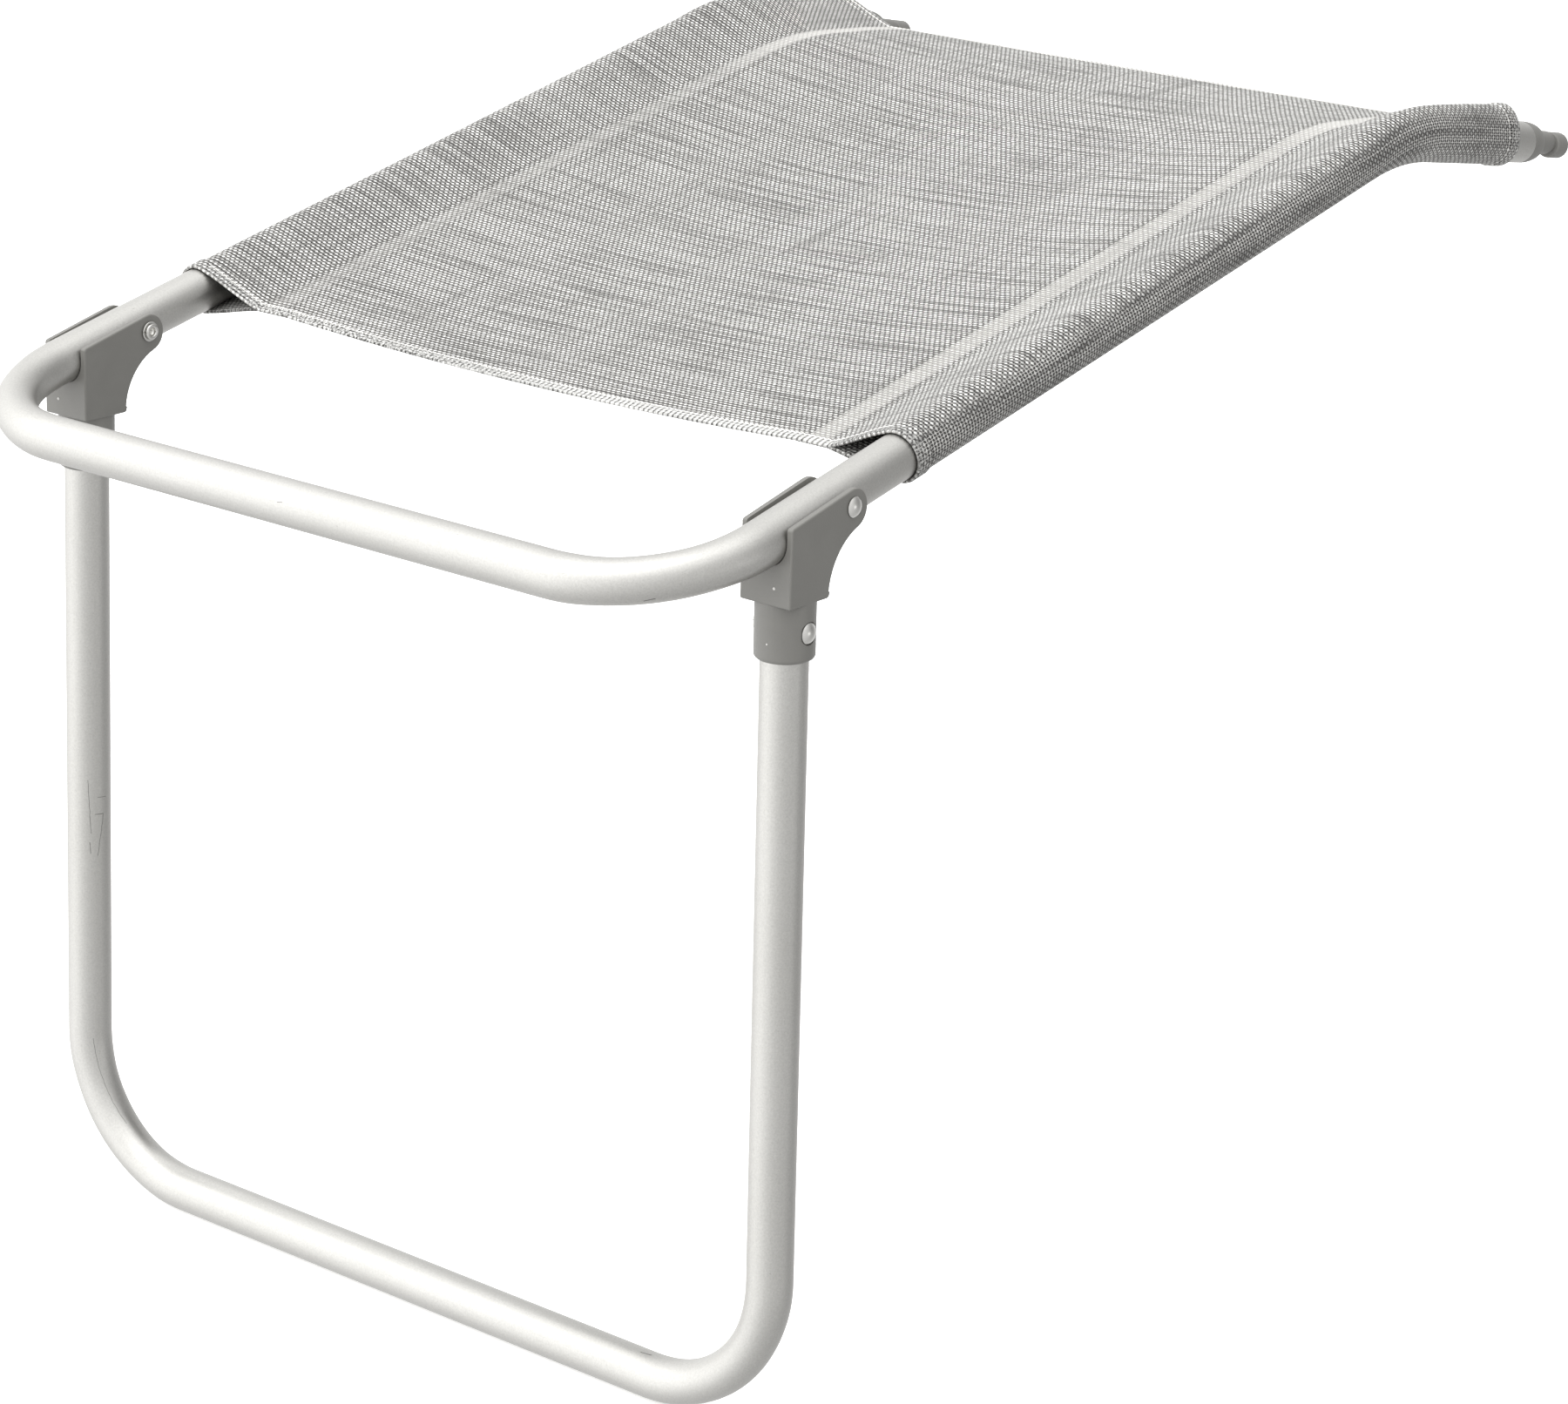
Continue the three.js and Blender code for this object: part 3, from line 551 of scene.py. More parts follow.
    # the thin ground grid that shows through the painted shade of the outer side,
    # broken up and streaked lengthwise
    threads = add("MapRange", {1: 0.36, 2: 0.47, 4: 0.85}, {0: fromThread})
    streaks = add("Mapping", {"Scale": (260.0, 14.0, 1)}, {"Vector": flat})
    streak = add("TexNoise", flatNoise | {"Detail": 2.0}, {"Vector": streaks})
    faint = add("MapRange", {1: 0.35, 2: 0.62, 3: 0.15}, {0: streak})
    grid = add("Math", times, {0: threads, 1: faint})
    grid = add("Math", times, {0: grid, 1: outer})

    # the hems are turned under: the doubled cloth is pressed and its yarns lie in a finer, rougher speckle
    speckle = add("TexVoronoi", {"voronoi_dimensions": "2D", "Scale": 720.0}, {"Vector": flat})
    speck = add("MapRange", {1: 0.55, 2: 0.15}, {0: speckle.outputs["Distance"]})
    # towards the right the folded weft lies regularly, like the bars of a ladder
    barAway = add("Math", {"operation": "PINGPONG", 1: beadPitch / 2}, {0: across})
    bar = add("MapRange", {1: 0.0003, 2: 0.0008}, {0: barAway})
    towardsRight = add("MapRange", {1: -0.12, 2: 0.05, 4: 0.75}, {0: across})
    offPocket = add("MapRange", {1: 0.18, 2: 0.19, 3: 1.0, 4: 0.0}, {0: side})
    regular = add("Math", times, {0: towardsRight, 1: offPocket})
    weft = add("Mix", None, {0: regular, 2: speck, 3: bar})
    turned = add("Mix", inColour | {6: colour["shadeGround"], 7: colour["bead"]}, {0: weft})
    hemCover = add("MapRange", {3: 0.25, 4: 0.6}, {0: offPocket})
    hemShare = add("Math", times, {0: hem, 1: hemCover})

    # colours, from the ground up: each layer covers part of what lies below it
    line = add("Math", {"operation": "MULTIPLY", 1: finish["dimCover"]}, {0: dim})
    # painted shade: the gaps are coloured near black, darker still on the pockets
    onPocket = add("MapRange", {1: 0.176, 2: 0.186}, {0: side})
    behind = add("Mix", inColour | {6: colour["hole"], 7: colour["pocketGapShade"]}, {0: onPocket})
    # painted sheen: the weld is coloured lighter, and covers more of the ground, where its sheen is painted
    weldTone = add("Mix", inColour | {6: colour["weldDull"], 7: colour["weld"]}, {0: shine})
    weldShare = add("MapRange", {3: 0.4, 4: 0.6}, {0: shine})
    pressed = add("Math", times, {0: weld, 1: weldShare})
    # painted shade: the outer sides of the pockets start from a near black ground
    surface = add("Mix", inColour | {6: colour["ground"], 7: colour["shadeGround"]}, {0: outer})
    layers = (
        (line, "dimLine"), (opening, behind), (pressed, weldTone), (weldLine, "weldLine"),
        (grid, "shadeThread"), (shown, "bead"), (hemShare, turned),
    )
    for share, layer in layers:
        # a layer is one of the colours by name, or a mix of two
        settings, links = dict(inColour), {0: share, 6: surface.outputs[2]}
        if isinstance(layer, str):
            settings[7] = colour[layer]
        else:
            links[7] = layer.outputs[2]
        surface = add("Mix", settings, links)

    sunk = add("Math", {"operation": "MULTIPLY_ADD", 1: -0.5}, {0: opening, 2: shown})
    height = add("Math", {"operation": "MULTIPLY_ADD", 1: 0.35}, {0: grid, 2: sunk})
    relief = add("Bump", {"Strength": 0.8, "Distance": 0.0005}, {"Height": height})
    vinyl = add("BsdfPrincipled", {"IOR": 1.5, "Roughness": finish["roughness"]}, {
        "Base Color": surface.outputs[2], "Normal": relief,
    })
    add("OutputMaterial", None, {"Surface": vinyl})
    return material


threadFinish = {"colour": "#fbfaf7", "deep": "#dddbd6", "roughness": 0.5}


def twistedPolyesterThread():
    # bonded sewing thread: bright white, slightly glossy, with its twist as fine slanted ribs
    material, add = newMaterial("twistedPolyesterThread")
    spot = add("TexCoord").outputs["Object"]
    twist = add("TexWave", {"Scale": 900.0, "Distortion": 1.5, "bands_direction": "DIAGONAL"}, {
        "Vector": spot,
    })
    tone = add("Mix", {
        "data_type": "RGBA", 6: hexColour(threadFinish["deep"]), 7: hexColour(threadFinish["colour"]),
    }, {0: twist.outputs[1]})
    relief = add("Bump", {"Strength": 0.4, "Distance": 0.0001}, {"Height": twist.outputs[1]})
    thread = add("BsdfPrincipled", {"Roughness": threadFinish["roughness"]}, {
        "Base Color": tone.outputs[2], "Normal": relief,
    })
    add("OutputMaterial", None, {"Surface": thread})
    return material


seatMetal = anodisedAluminium("anodisedAluminiumSeat", seatScars)
legMetal = anodisedAluminium("anodisedAluminiumLeg", legScars)
bracketPlastic = mouldedNylon("mouldedNylon", *nylonFinish["bracket"])
plugPlastic = mouldedNylon("mouldedNylonPlug", *nylonFinish["plug"])
# where the gates broke off, the nylon is drawn near white
gatePlastic = mouldedNylon("paleGateNylon", *nylonFinish["gate"])
rivetSteel = zincPlatedSteel()
sewingThread = twistedPolyesterThread()
print("materials made")


# Bent tubes

tube = {"radius": 11, "wall": 1.5, "sides": 56, "bendStep": 2.5, "straightStep": 40}


# Stations (point, direction, how far into a bend) along corners that are rounded by bends
def tubeStations(corners, radii):
    stations = [(corners[0].copy(), (corners[1] - corners[0]).normalized(), 0.0)]
    for i in range(1, len(corners) - 1):
        into = (corners[i] - corners[i - 1]).normalized()
        out = (corners[i + 1] - corners[i]).normalized()
        turn = into.angle(out)
        radius = radii[i - 1]
        start = corners[i] - into * radius * math.tan(turn / 2)
        inward = (out - into * out.dot(into)).normalized()
        last = stations[-1][0]
        gap = (start - last).length
        fill = max(1, round(gap / (tube["straightStep"] * mm)))
        for k in range(1, fill):
            stations.append((last.lerp(start, k / fill), into.copy(), 0.0))
        steps = max(4, round(math.degrees(turn) / tube["bendStep"]))
        for k in range(steps + 1):
            angle = turn * k / steps
            point = start + into * radius * math.sin(angle) + inward * radius * (1 - math.cos(angle))
            way = into * math.cos(angle) + inward * math.sin(angle)
            stations.append((point, way, math.sin(math.pi * k / steps)))
    last, end = stations[-1][0], corners[-1]
    way = (end - last).normalized()
    fill = max(1, round((end - last).length / (tube["straightStep"] * mm)))
    for k in range(1, fill + 1):
        stations.append((last.lerp(end, k / fill), way.copy(), 0.0))
    return stations


# A hollow tube, slightly narrowed round the bends where the bender pressed it
def makeTube(name, stations, place, thinning, metal, node):
    meshMaker = bmesh.new()
    layer = meshMaker.loops.layers.uv.new("length")
    sides = tube["sides"]
    upward = None
    travelled, previous = 0.0, stations[0][0]
    outerRows, innerRows, spots = [], [], {}
    for point, way, bend in stations:
        travelled += (point - previous).length
        previous = point
        if upward is None:
            upward = way.orthogonal().normalized()
        upward = (upward - way * upward.dot(way)).normalized()
        sideways = way.cross(upward)
        narrow = 1 - thinning * smoothStep(0.2, 0.9, bend)
        for radius, rows in ((tube["radius"], outerRows), (tube["radius"] - tube["wall"], innerRows)):
            rows.append([])
            for k in range(sides):
                angle = 2 * math.pi * k / sides
                offset = (upward * math.cos(angle) + sideways * math.sin(angle)) * radius * narrow * mm
                vertex = meshMaker.verts.new(place @ (point + offset))
                spots[vertex] = (travelled, k)
                rows[-1].append(vertex)
    gridFaces(meshMaker, outerRows + innerRows[::-1], closeAcross=True, closeAlong=True)
    bmesh.ops.recalc_face_normals(meshMaker, faces=meshMaker.faces)
    # the pattern's coordinates: length along the tube and place round it, unbroken at the seam
    girth = 2 * math.pi * tube["radius"] * mm
    for face in meshMaker.faces:
        turns = [spots[loop.vert][1] for loop in face.loops]
        wraps = max(turns) - min(turns) > sides / 2
        for loop in face.loops:
            length, k = spots[loop.vert]
            share = (k + sides if wraps and k < sides / 2 else k) / sides
            loop[layer].uv = (length, share * girth)
    made = newObject(name, meshMaker, metal, 40)
    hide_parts(node)
    return made


seatBends = {"frontRadius": 65, "rearRadius": 170, "thinning": 0.045}
legBends = {"radius": 70, "thinning": 0.045}

halfWidth = stance["halfWidth"] * mm


def mirrored(point):
    return Vector((-point.x, point.y, point.z))


def makeSeatTube():
    right = [Vector((halfWidth, end.y, end.z)) for end in (Vector(), rearCorner, tubeEnd)]
    corners = [mirrored(p) for p in reversed(right)] + right
    radii = [seatBends[bend] * mm for bend in ("rearRadius", "frontRadius", "frontRadius", "rearRadius")]
    stations = tubeStations(corners, radii)
    made = makeTube("seatTube", stations, seatPlace, seatBends["thinning"], seatMetal, "seat_tube")
    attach(made, "seat")


# The point of a leg's axis at a distance below the side tube, in the leg's frame
def legPoint(side, distance):
    splay = math.radians(stance["legSplay"])
    x = side * (stance["halfWidth"] + distance * math.sin(splay))
    return Vector((x, 0, -distance * math.cos(splay))) * mm


cradleAngle = math.radians(stance["seatRise"] + stance["legLean"])
bracket = {
    "channelRadius": 11.3, "cheek": 2.9, "pivotSetback": 29.5, "lobeRadius": 9.4, "lobeShift": 0.6,
    "lobeDrop": 1.2, "blockFront": 14.3, "blockRear": 13.2, "blockDrop": 32.3, "rearArcRadius": 30,
    "earFrontHeight": 7.2, "earCorner": 1.4, "roof": 3, "sleeveLength": 27, "sleeveWall": 2.5, "lip": 2.2,
    "seatDepth": 0.9, "seatRadius": 5.4, "hole": 3.3, "edgeRound": 0.9, "lowRound": 1.0, "gapCorner": 1.5,
    "sleeveRoot": 4, "socketLead": 0.6, "softEdge": 0.35, "cutOver": 3, "cutLength": 40,
    "channelCut": (56, 30), "gapBack": 20, "gapHeights": (-60, 40),
    "gates": ((5.0, -14.3, -23.9, 0.7), (1.5, -13.75, -50.2, 0.45)),
}
legTopDrop = (bracket["channelRadius"] + tube["radius"] * math.sin(cradleAngle)) / math.cos(cradleAngle)
legTopDrop += bracket["roof"]
socketRivetDrop = bracket["blockDrop"] + bracket["sleeveLength"] / 2
bracketHalf = bracket["channelRadius"] + bracket["cheek"]
sleeveRadius = bracket["channelRadius"] + bracket["sleeveWall"]


def makeLegTube():
    right = [legPoint(1, legTopDrop + 0.3), legPoint(1, stance["legLength"])]
    corners = [mirrored(p) for p in right] + right[::-1]
    radii = [legBends["radius"] * mm] * 2
    stations = tubeStations(corners, radii)
    made = makeTube("legTube", stations, legPlace, legBends["thinning"], legMetal, "leg_tube")
    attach(made, "leg")


makeSeatTube()
makeLegTube()
print("tubes made")


# Folding brackets

pivotY = bracket["pivotSetback"] * math.cos(cradleAngle)
pivotZ = bracket["pivotSetback"] * math.sin(cradleAngle)


# Side view of the bracket in millimetres: block, hollow rear edge, lobe and sloping ear top
def bracketOutline():
    b = bracket
    lobeY, lobeZ = pivotY + b["lobeShift"], pivotZ - b["lobeDrop"]
    rearArcY = b["blockRear"] + b["rearArcRadius"]
    reach = b["rearArcRadius"] + b["lobeRadius"]
    rearArcZ = lobeZ - math.sqrt(reach ** 2 - (rearArcY - lobeY) ** 2)
    toLobe = math.degrees(math.atan2(lobeZ - rearArcZ, lobeY - rearArcY))
    earFrontZ = b["earFrontHeight"] / math.cos(cradleAngle) - b["blockFront"] * math.tan(cradleAngle)
    earDistance = math.hypot(-b["blockFront"] - lobeY, earFrontZ - lobeZ)
    earDirection = math.atan2(earFrontZ - lobeZ, -b["blockFront"] - lobeY)
    lobeEnd = math.degrees(earDirection - math.acos(b["lobeRadius"] / earDistance))
    lobeEnd += 360 if lobeEnd < toLobe - 180 else 0
    corner, lowRound = b["earCorner"], b["lowRound"]
    points = arcPoints((-b["blockFront"] + lowRound, -b["blockDrop"] + lowRound), lowRound, 180, 270, 3)
    points += arcPoints((b["blockRear"] - lowRound, -b["blockDrop"] + lowRound), lowRound, 270, 360, 3)
    points += arcPoints((rearArcY, rearArcZ), b["rearArcRadius"], 180, toLobe, 12)
    points += arcPoints((lobeY, lobeZ), b["lobeRadius"], toLobe - 180, lobeEnd, 26)[1:]
    slope = math.radians(lobeEnd - 90)
    top = (-b["blockFront"] + corner * math.cos(slope), earFrontZ + corner * math.sin(slope))
    for k in range(7):
        t = k / 6
        y = (1 - t) ** 2 * top[0] + 2 * t * (1 - t) * -b["blockFront"] + t * t * -b["blockFront"]
        z = (1 - t) ** 2 * top[1] + 2 * t * (1 - t) * earFrontZ + t * t * (earFrontZ - corner)
        points.append((y, z))
    return points


# Moves an outline inward by a distance, along the mean of the two edge normals at each point
def shrunkOutline(points, distance):
    moved = []
    for i, (y, z) in enumerate(points):
        before, after = points[i - 1], points[(i + 1) % len(points)]
        a = Vector((y - before[0], z - before[1])).normalized()
        b = Vector((after[0] - y, after[1] - z)).normalized()
        normal = Vector((-(a.y + b.y), a.x + b.x))
        normal.normalize()
        cosHalf = max(0.5, normal.dot(Vector((-a.y, a.x))))
        moved.append((y + normal.x * distance / cosHalf, z + normal.y * distance / cosHalf))
    return moved


# The outline extruded across the bracket, with rounded edges on both cheeks
def roundedBlock(points, half, edge):
    rows = []
    steps = 5
    for side in (-1, 1):
        rings = []
        for k in range(steps + 1):
            angle = math.pi / 2 * k / steps
            inset, x = edge * (1 - math.cos(angle)), half - edge + edge * math.sin(angle)
            rings.append([Vector((side * x, y, z)) * mm for y, z in shrunkOutline(points, inset)])
        rows += rings[::-1] if side < 0 else rings
    return liddedSolid(rows)


def barAcross(radius, length, centre, tilt=0.0, sides=40):
    place = Matrix.Translation(Vector(centre) * mm) @ Matrix.Rotation(tilt, 4, "Y")
    profile = [(0, -length / 2), (radius, -length / 2), (radius, length / 2), (0, length / 2)]
    return turnedSolid(profile, sides, place @ Matrix.Rotation(math.pi / 2, 4, "Y"))


# The open channel for the side tube: a half round floor with straight walls above it
def cradleCutter():
    radius, (reach, height) = bracket["channelRadius"], bracket["channelCut"]
    profile = arcPoints((0, 0), radius, 180, 360, 28) + [(radius, height), (-radius, height)]
    turn = Matrix.Rotation(cradleAngle, 4, "X")
    return liddedSolid([[turn @ (Vector((x, y, z)) * mm) for x, z in profile] for y in (-reach, reach)])


# The space between the ears behind the block, its front corners rounded as in the mould
def earGapCutter():
    half, front, r = bracket["channelRadius"], bracket["blockRear"], bracket["gapCorner"]
    back = pivotY + bracket["gapBack"]
    profile = [(-half, back), (-half, front + r)] + arcPoints((-half + r, front + r), r, 180, 270, 4)[1:]
    profile += arcPoints((half - r, front + r), r, 270, 360, 4) + [(half, back)]
    return liddedSolid([[Vector((x, y, z)) * mm for x, y in profile] for z in bracket["gapHeights"]])


def makeBracket(side, label):
    b = bracket
    splay = -side * math.radians(stance["legSplay"])
    bottom = -b["blockDrop"] - b["sleeveLength"]
    lean = Matrix.Rotation(splay, 4, "Y")
    root, over = -legTopDrop - b["sleeveRoot"], bottom - b["cutOver"]
    radius, lead, lip = b["channelRadius"], b["socketLead"], b["lip"]
    sleeveProfile = [(0, root), (sleeveRadius, root)]
    sleeveProfile += arcPoints((sleeveRadius - lip, bottom + lip), lip, 0, -90, 6) + [(0, bottom)]
    socketProfile = [(0, -legTopDrop), (radius, -legTopDrop), (radius, bottom + lead)]
    socketProfile += [(radius + lead, bottom), (radius + lead, over), (0, over)]
    body = roundedBlock(bracketOutline(), bracketHalf, b["edgeRound"])
    block = newObject("bracket" + label, body, bracketPlastic)
    sleeve = newObject("cutSleeve", turnedSolid(sleeveProfile, 64, lean), bracketPlastic)
    joinOrCut(block, [newObject("cutGap", earGapCutter(), bracketPlastic)], "DIFFERENCE")
    joinOrCut(block, [sleeve], "UNION")
    cuts = [
        cradleCutter(), turnedSolid(socketProfile, 64, lean),
        barAcross(b["hole"], b["cutLength"], (0, pivotY, pivotZ)),
        barAcross(b["hole"], b["cutLength"], lean @ Vector((0, 0, -socketRivetDrop)), splay),
    ]
    for face in (-1, 1):
        centre = lean @ Vector((face * (sleeveRadius + 1 - b["seatDepth"] / 2), 0, -socketRivetDrop))
        cuts.append(barAcross(b["seatRadius"], b["seatDepth"] + 2, centre, splay))
    joinOrCut(block, [newObject("cut", cut, bracketPlastic) for cut in cuts], "DIFFERENCE")
    tidyFaces(block.data)
    soften = block.modifiers.new("softEdges", "BEVEL")
    soften.width = b["softEdge"] * mm
    soften.segments = 2
    soften.limit_method = "ANGLE"
    soften.angle_limit = math.radians(50)
    soften.use_clamp_overlap = True
    bakeModifiers(block)
    tidyFaces(block.data)
    finishShading(block.data, 32)
    even = block.modifiers.new("evenCheeks", "WEIGHTED_NORMAL")
    even.mode, even.weight, even.keep_sharp = "FACE_AREA", 50, True
    bakeModifiers(block)
    block.data.transform(legPlace @ Matrix.Translation((side * halfWidth, 0, 0)))
    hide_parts("bracket_" + label.lower())
    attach(block, "leg")


# Small flattened domes where the mould was fed, on the bracket's front face and on its sleeve
def makeGateMarks(side, label):
    sunk, flatness = 0.5, 0.6
    for number, (x, y, z, radius) in enumerate(bracket["gates"], 1):
        spot = Matrix.Translation(Vector((side * (stance["halfWidth"] + x), y, z)) * mm)
        dome = [(0, -sunk), (radius, -sunk), (radius, 0)]
        dome += [(r, h * flatness) for r, h in arcPoints((0, 0), radius, 15, 75, 4) + [(0, radius)]]
        dome = turnedSolid(dome, 16, legPlace @ spot @ Matrix.Rotation(math.pi / 2, 4, "X"))
        gate = newObject(f"gateMark{label}{number}", dome, gatePlastic)
        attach(gate, "leg")


for side, label in leftAndRight:
    makeBracket(side, label)
    makeGateMarks(side, label)
print("brackets made")


# Rivets and washers

rivet = {
    "shank": 3, "head": 4.8, "headHeight": 2.3, "headEdge": 0.25, "rim": 3.9, "rimHeight": 1.3,
    "rimRound": 0.65, "dimple": 2.1, "dimpleDepth": 2.4, "dimpleBevel": (0.5, 0.6), "fit": 0.3, "sides": 40,
    "washer": 5, "washerHole": 3.3, "washerThickness": 1, "washerEdge": 0.2,
}


# Half profile of a semi tubular rivet, from the bottom of the dimple over rim and shank to the dome
def rivetProfile(grip):
    r = rivet
    rimEnd = -grip - r["rimHeight"]
    deepest, (inset, drop) = rimEnd + r["dimpleDepth"], r["dimpleBevel"]
    middle = (r["dimple"] + r["rim"]) / 2
    roll = (r["rim"] - r["dimple"]) / 2
    points = [(0, deepest), (r["dimple"] - inset, deepest), (r["dimple"], deepest - drop)]
    for k in range(9):
        angle = math.pi * (1 - k / 8)
        height = rimEnd + r["rimRound"] - r["rimRound"] * math.sin(angle)
        points.append((middle + roll * math.cos(angle), height))
    points += [(r["rim"], -grip), (r["shank"], -grip), (r["shank"], 0)]
    points += [(r["head"] - r["headEdge"], 0), (r["head"], r["headEdge"])]
    rise = r["headHeight"] - r["headEdge"]
    dome = (r["head"] ** 2 + rise ** 2) / (2 * rise)
    widest = math.asin(r["head"] / dome)
    for k in range(9, -1, -1):
        angle = widest * k / 10
        points.append((dome * math.sin(angle), r["headHeight"] - dome * (1 - math.cos(angle))))
    return points


def makeRivetSet(side, label, kind, seat, centre, tilt):
    r = rivet
    outward = Matrix.Translation(centre) @ Matrix.Rotation(-side * tilt, 4, "Y")
    place = legPlace @ (outward @ Matrix.Rotation(side * math.pi / 2, 4, "Y"))
    grip = 2 * (seat + r["fit"]) + r["washerThickness"] + r["fit"]
    underHead = Matrix.Translation((0, 0, (seat + r["fit"]) * mm))
    body = turnedSolid(rivetProfile(grip), r["sides"], place @ underHead)
    made = newObject(kind + "Rivet" + label, body, rivetSteel, 30)
    half, edge = r["washerThickness"] / 2, r["washerEdge"]
    ring = [(r["washerHole"], -half), (r["washer"] - edge, -half), (r["washer"], -half + edge)]
    ring += [(r["washer"], half - edge), (r["washer"] - edge, half), (r["washerHole"], half)]
    middle = -(seat + r["fit"] + r["washerThickness"] / 2) * mm
    washer = turnedSolid(ring, r["sides"], place @ Matrix.Translation((0, 0, middle)), ring=True)
    washer = newObject(kind + "Washer" + label, washer, rivetSteel, 30)
    for piece, node in ((made, "rivet"), (washer, "washer")):
        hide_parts(f"{kind}_{node}_{label.lower()}")
        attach(piece, "leg")


for side, label in leftAndRight:
    pivotCentre = Vector((side * stance["halfWidth"], pivotY, pivotZ)) * mm
    makeRivetSet(side, label, "pivot", bracketHalf, pivotCentre, 0)
    socketCentre, splay = legPoint(side, socketRivetDrop), math.radians(stance["legSplay"])
    makeRivetSet(side, label, "socket", sleeveRadius - bracket["seatDepth"], socketCentre, splay)
    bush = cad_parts["pivot_spacer_" + label.lower()]
    bush.data.materials.clear()
    bush.data.materials.append(rivetSteel)
print("rivets made")


# Hook plugs

plug = {
    "insert": 18, "lead": 1, "play": 0.3, "brim": 0.3, "shoulder": 16, "neck": 6.4, "neckLength": 16,
    "neckTip": 6.2, "neckRise": 0.2, "tipBevel": (0.4, 0.5), "groove": 5.3, "grooveLength": 3.0,
    "grooveSlope": 0.3, "head": 6.9, "headLength": 11, "headRoot": 2, "edge": 0.8,
    "lipDrop": 0.9, "lipReach": 0.6, "headTilt": 1,
}


def makeHookPlug(side, label):
    p, bore, outer = plug, tube["radius"] - tube["wall"] - plug["play"], tube["radius"]
    inner = -p["insert"]
    profile = [(0, inner), (bore - p["lead"], inner), (bore, inner + p["lead"]), (bore, p["play"])]
    profile += [(outer - p["brim"], p["play"]), (outer, p["play"] + p["brim"])]
    for k in range(17):
        angle = math.pi / 2 * k / 16
        radius = p["neck"] + (outer - p["neck"]) * math.cos(angle)
        profile.append((radius, tube["wall"] + (p["shoulder"] - tube["wall"]) * math.sin(angle)))
    neckEnd = p["shoulder"] + p["neckLength"]
    headRoot, grooveStart = neckEnd + p["headRoot"], neckEnd - p["grooveLength"]
    tip, (inset, before) = p["neckTip"], p["tipBevel"]
    profile += [(tip, grooveStart - before), (tip - inset, grooveStart)]
    profile += [(p["groove"], grooveStart + p["grooveSlope"]), (p["groove"], headRoot), (0, headRoot)]
    headEnd, edge = neckEnd + p["headLength"], p["edge"]
    head = [(0, neckEnd)] + arcPoints((p["head"] - edge, neckEnd + edge), edge, -90, 0, 4)
    head += arcPoints((p["head"] - edge, headEnd - edge), edge, 0, 90, 4) + [(0, headEnd)]
    # local Z runs out of the tube, local X stays the row's X
    outOfTube = Matrix.Rotation(-math.pi / 2, 4, "X")
    end = Matrix.Translation((side * halfWidth, tubeEnd.y, tubeEnd.z))
    place = seatPlace @ end @ turnX(-stance["hookDrop"])
    meshMaker = turnedSolid(profile, 56, outOfTube)
    for vertex in meshMaker.verts:
        vertex.co.z += p["neckRise"] * mm * smoothStep(tube["wall"] * mm, p["shoulder"] * mm, vertex.co.y)
    body = newObject("hookPlug" + label, meshMaker, plugPlastic)
    middle = Vector((0, neckEnd + p["headLength"] / 2, 0)) * mm
    tilted = Matrix.Translation(middle) @ turnX(-p["headTilt"]) @ Matrix.Translation(-middle)
    shifted = Matrix.Translation(Vector((side * p["lipReach"], 0, -p["lipDrop"])) * mm) @ tilted @ outOfTube
    joinOrCut(body, [newObject("hookHead", turnedSolid(head, 48, shifted), plugPlastic)], "UNION")
    body.data.transform(place)
    finishShading(body.data, 30)
    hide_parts("hook_plug_" + label.lower())
    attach(body, "seat")


for side, label in leftAndRight:
    makeHookPlug(side, label)
print("hook plugs made")


# Sling

sling = {
    "front": 163, "rearInset": 21, "thickness": 0.9, "pocketReach": 40, "weldBand": 18,
    "weldDrop": 3, "sag": 5, "rearHemRise": 5, "rearPocketRise": 7, "wrap": 110,
    "gap": 0.35, "lapGap": 0.08, "hem": 10, "hemExtra": 0.95, "hemStep": 0.6, "hemRound": 1.0,
    "acrossStep": 6, "alongStep": 6, "bendRadius": 170, "bowl": 9, "bowlSkew": 1.6, "easing": 0.25,
    "ripple": 0.35, "rippleAcross": 55, "rippleAlong": 30, "rippleSeed": 3.1, "calmEdge": 20,
    "leastEdge": 0.12,
}
stitching = {
    "length": 3.0, "radius": 0.33, "fromEdge": 5.5, "end": 218, "sides": 7, "steps": 6, "wander": 0.25,
    "wanderLength": 9, "lookAhead": 0.2, "swellPower": 0.6, "leastShare": 0.55, "swellShare": 0.45,
}


bendLength = sling["bendRadius"] * math.tan(hookAngle / 2)
bendStart = stance["seatLength"] - bendLength
bendArc = sling["bendRadius"] * hookAngle
rearLength = stance["hookEndLength"] - bendLength - sling["rearInset"]
slingLength = bendStart - sling["front"] + bendArc + rearLength


# The side tube's axis at a distance along the cloth: place, lean and how far past the bend's start
def clothStation(distance):
    past = distance - (bendStart - sling["front"])
    if past <= 0:
        return sling["front"] + distance, 0.0, 0.0, 0.0
    share = past / (bendArc + rearLength)
    if past <= bendArc:
        angle = past / sling["bendRadius"]
        y = bendStart + sling["bendRadius"] * math.sin(angle)
        return y, -sling["bendRadius"] * (1 - math.cos(angle)), angle, share
    along = bendLength + past - bendArc
    return stance["seatLength"] + along * math.cos(hookAngle), -along * math.sin(hookAngle), hookAngle, share


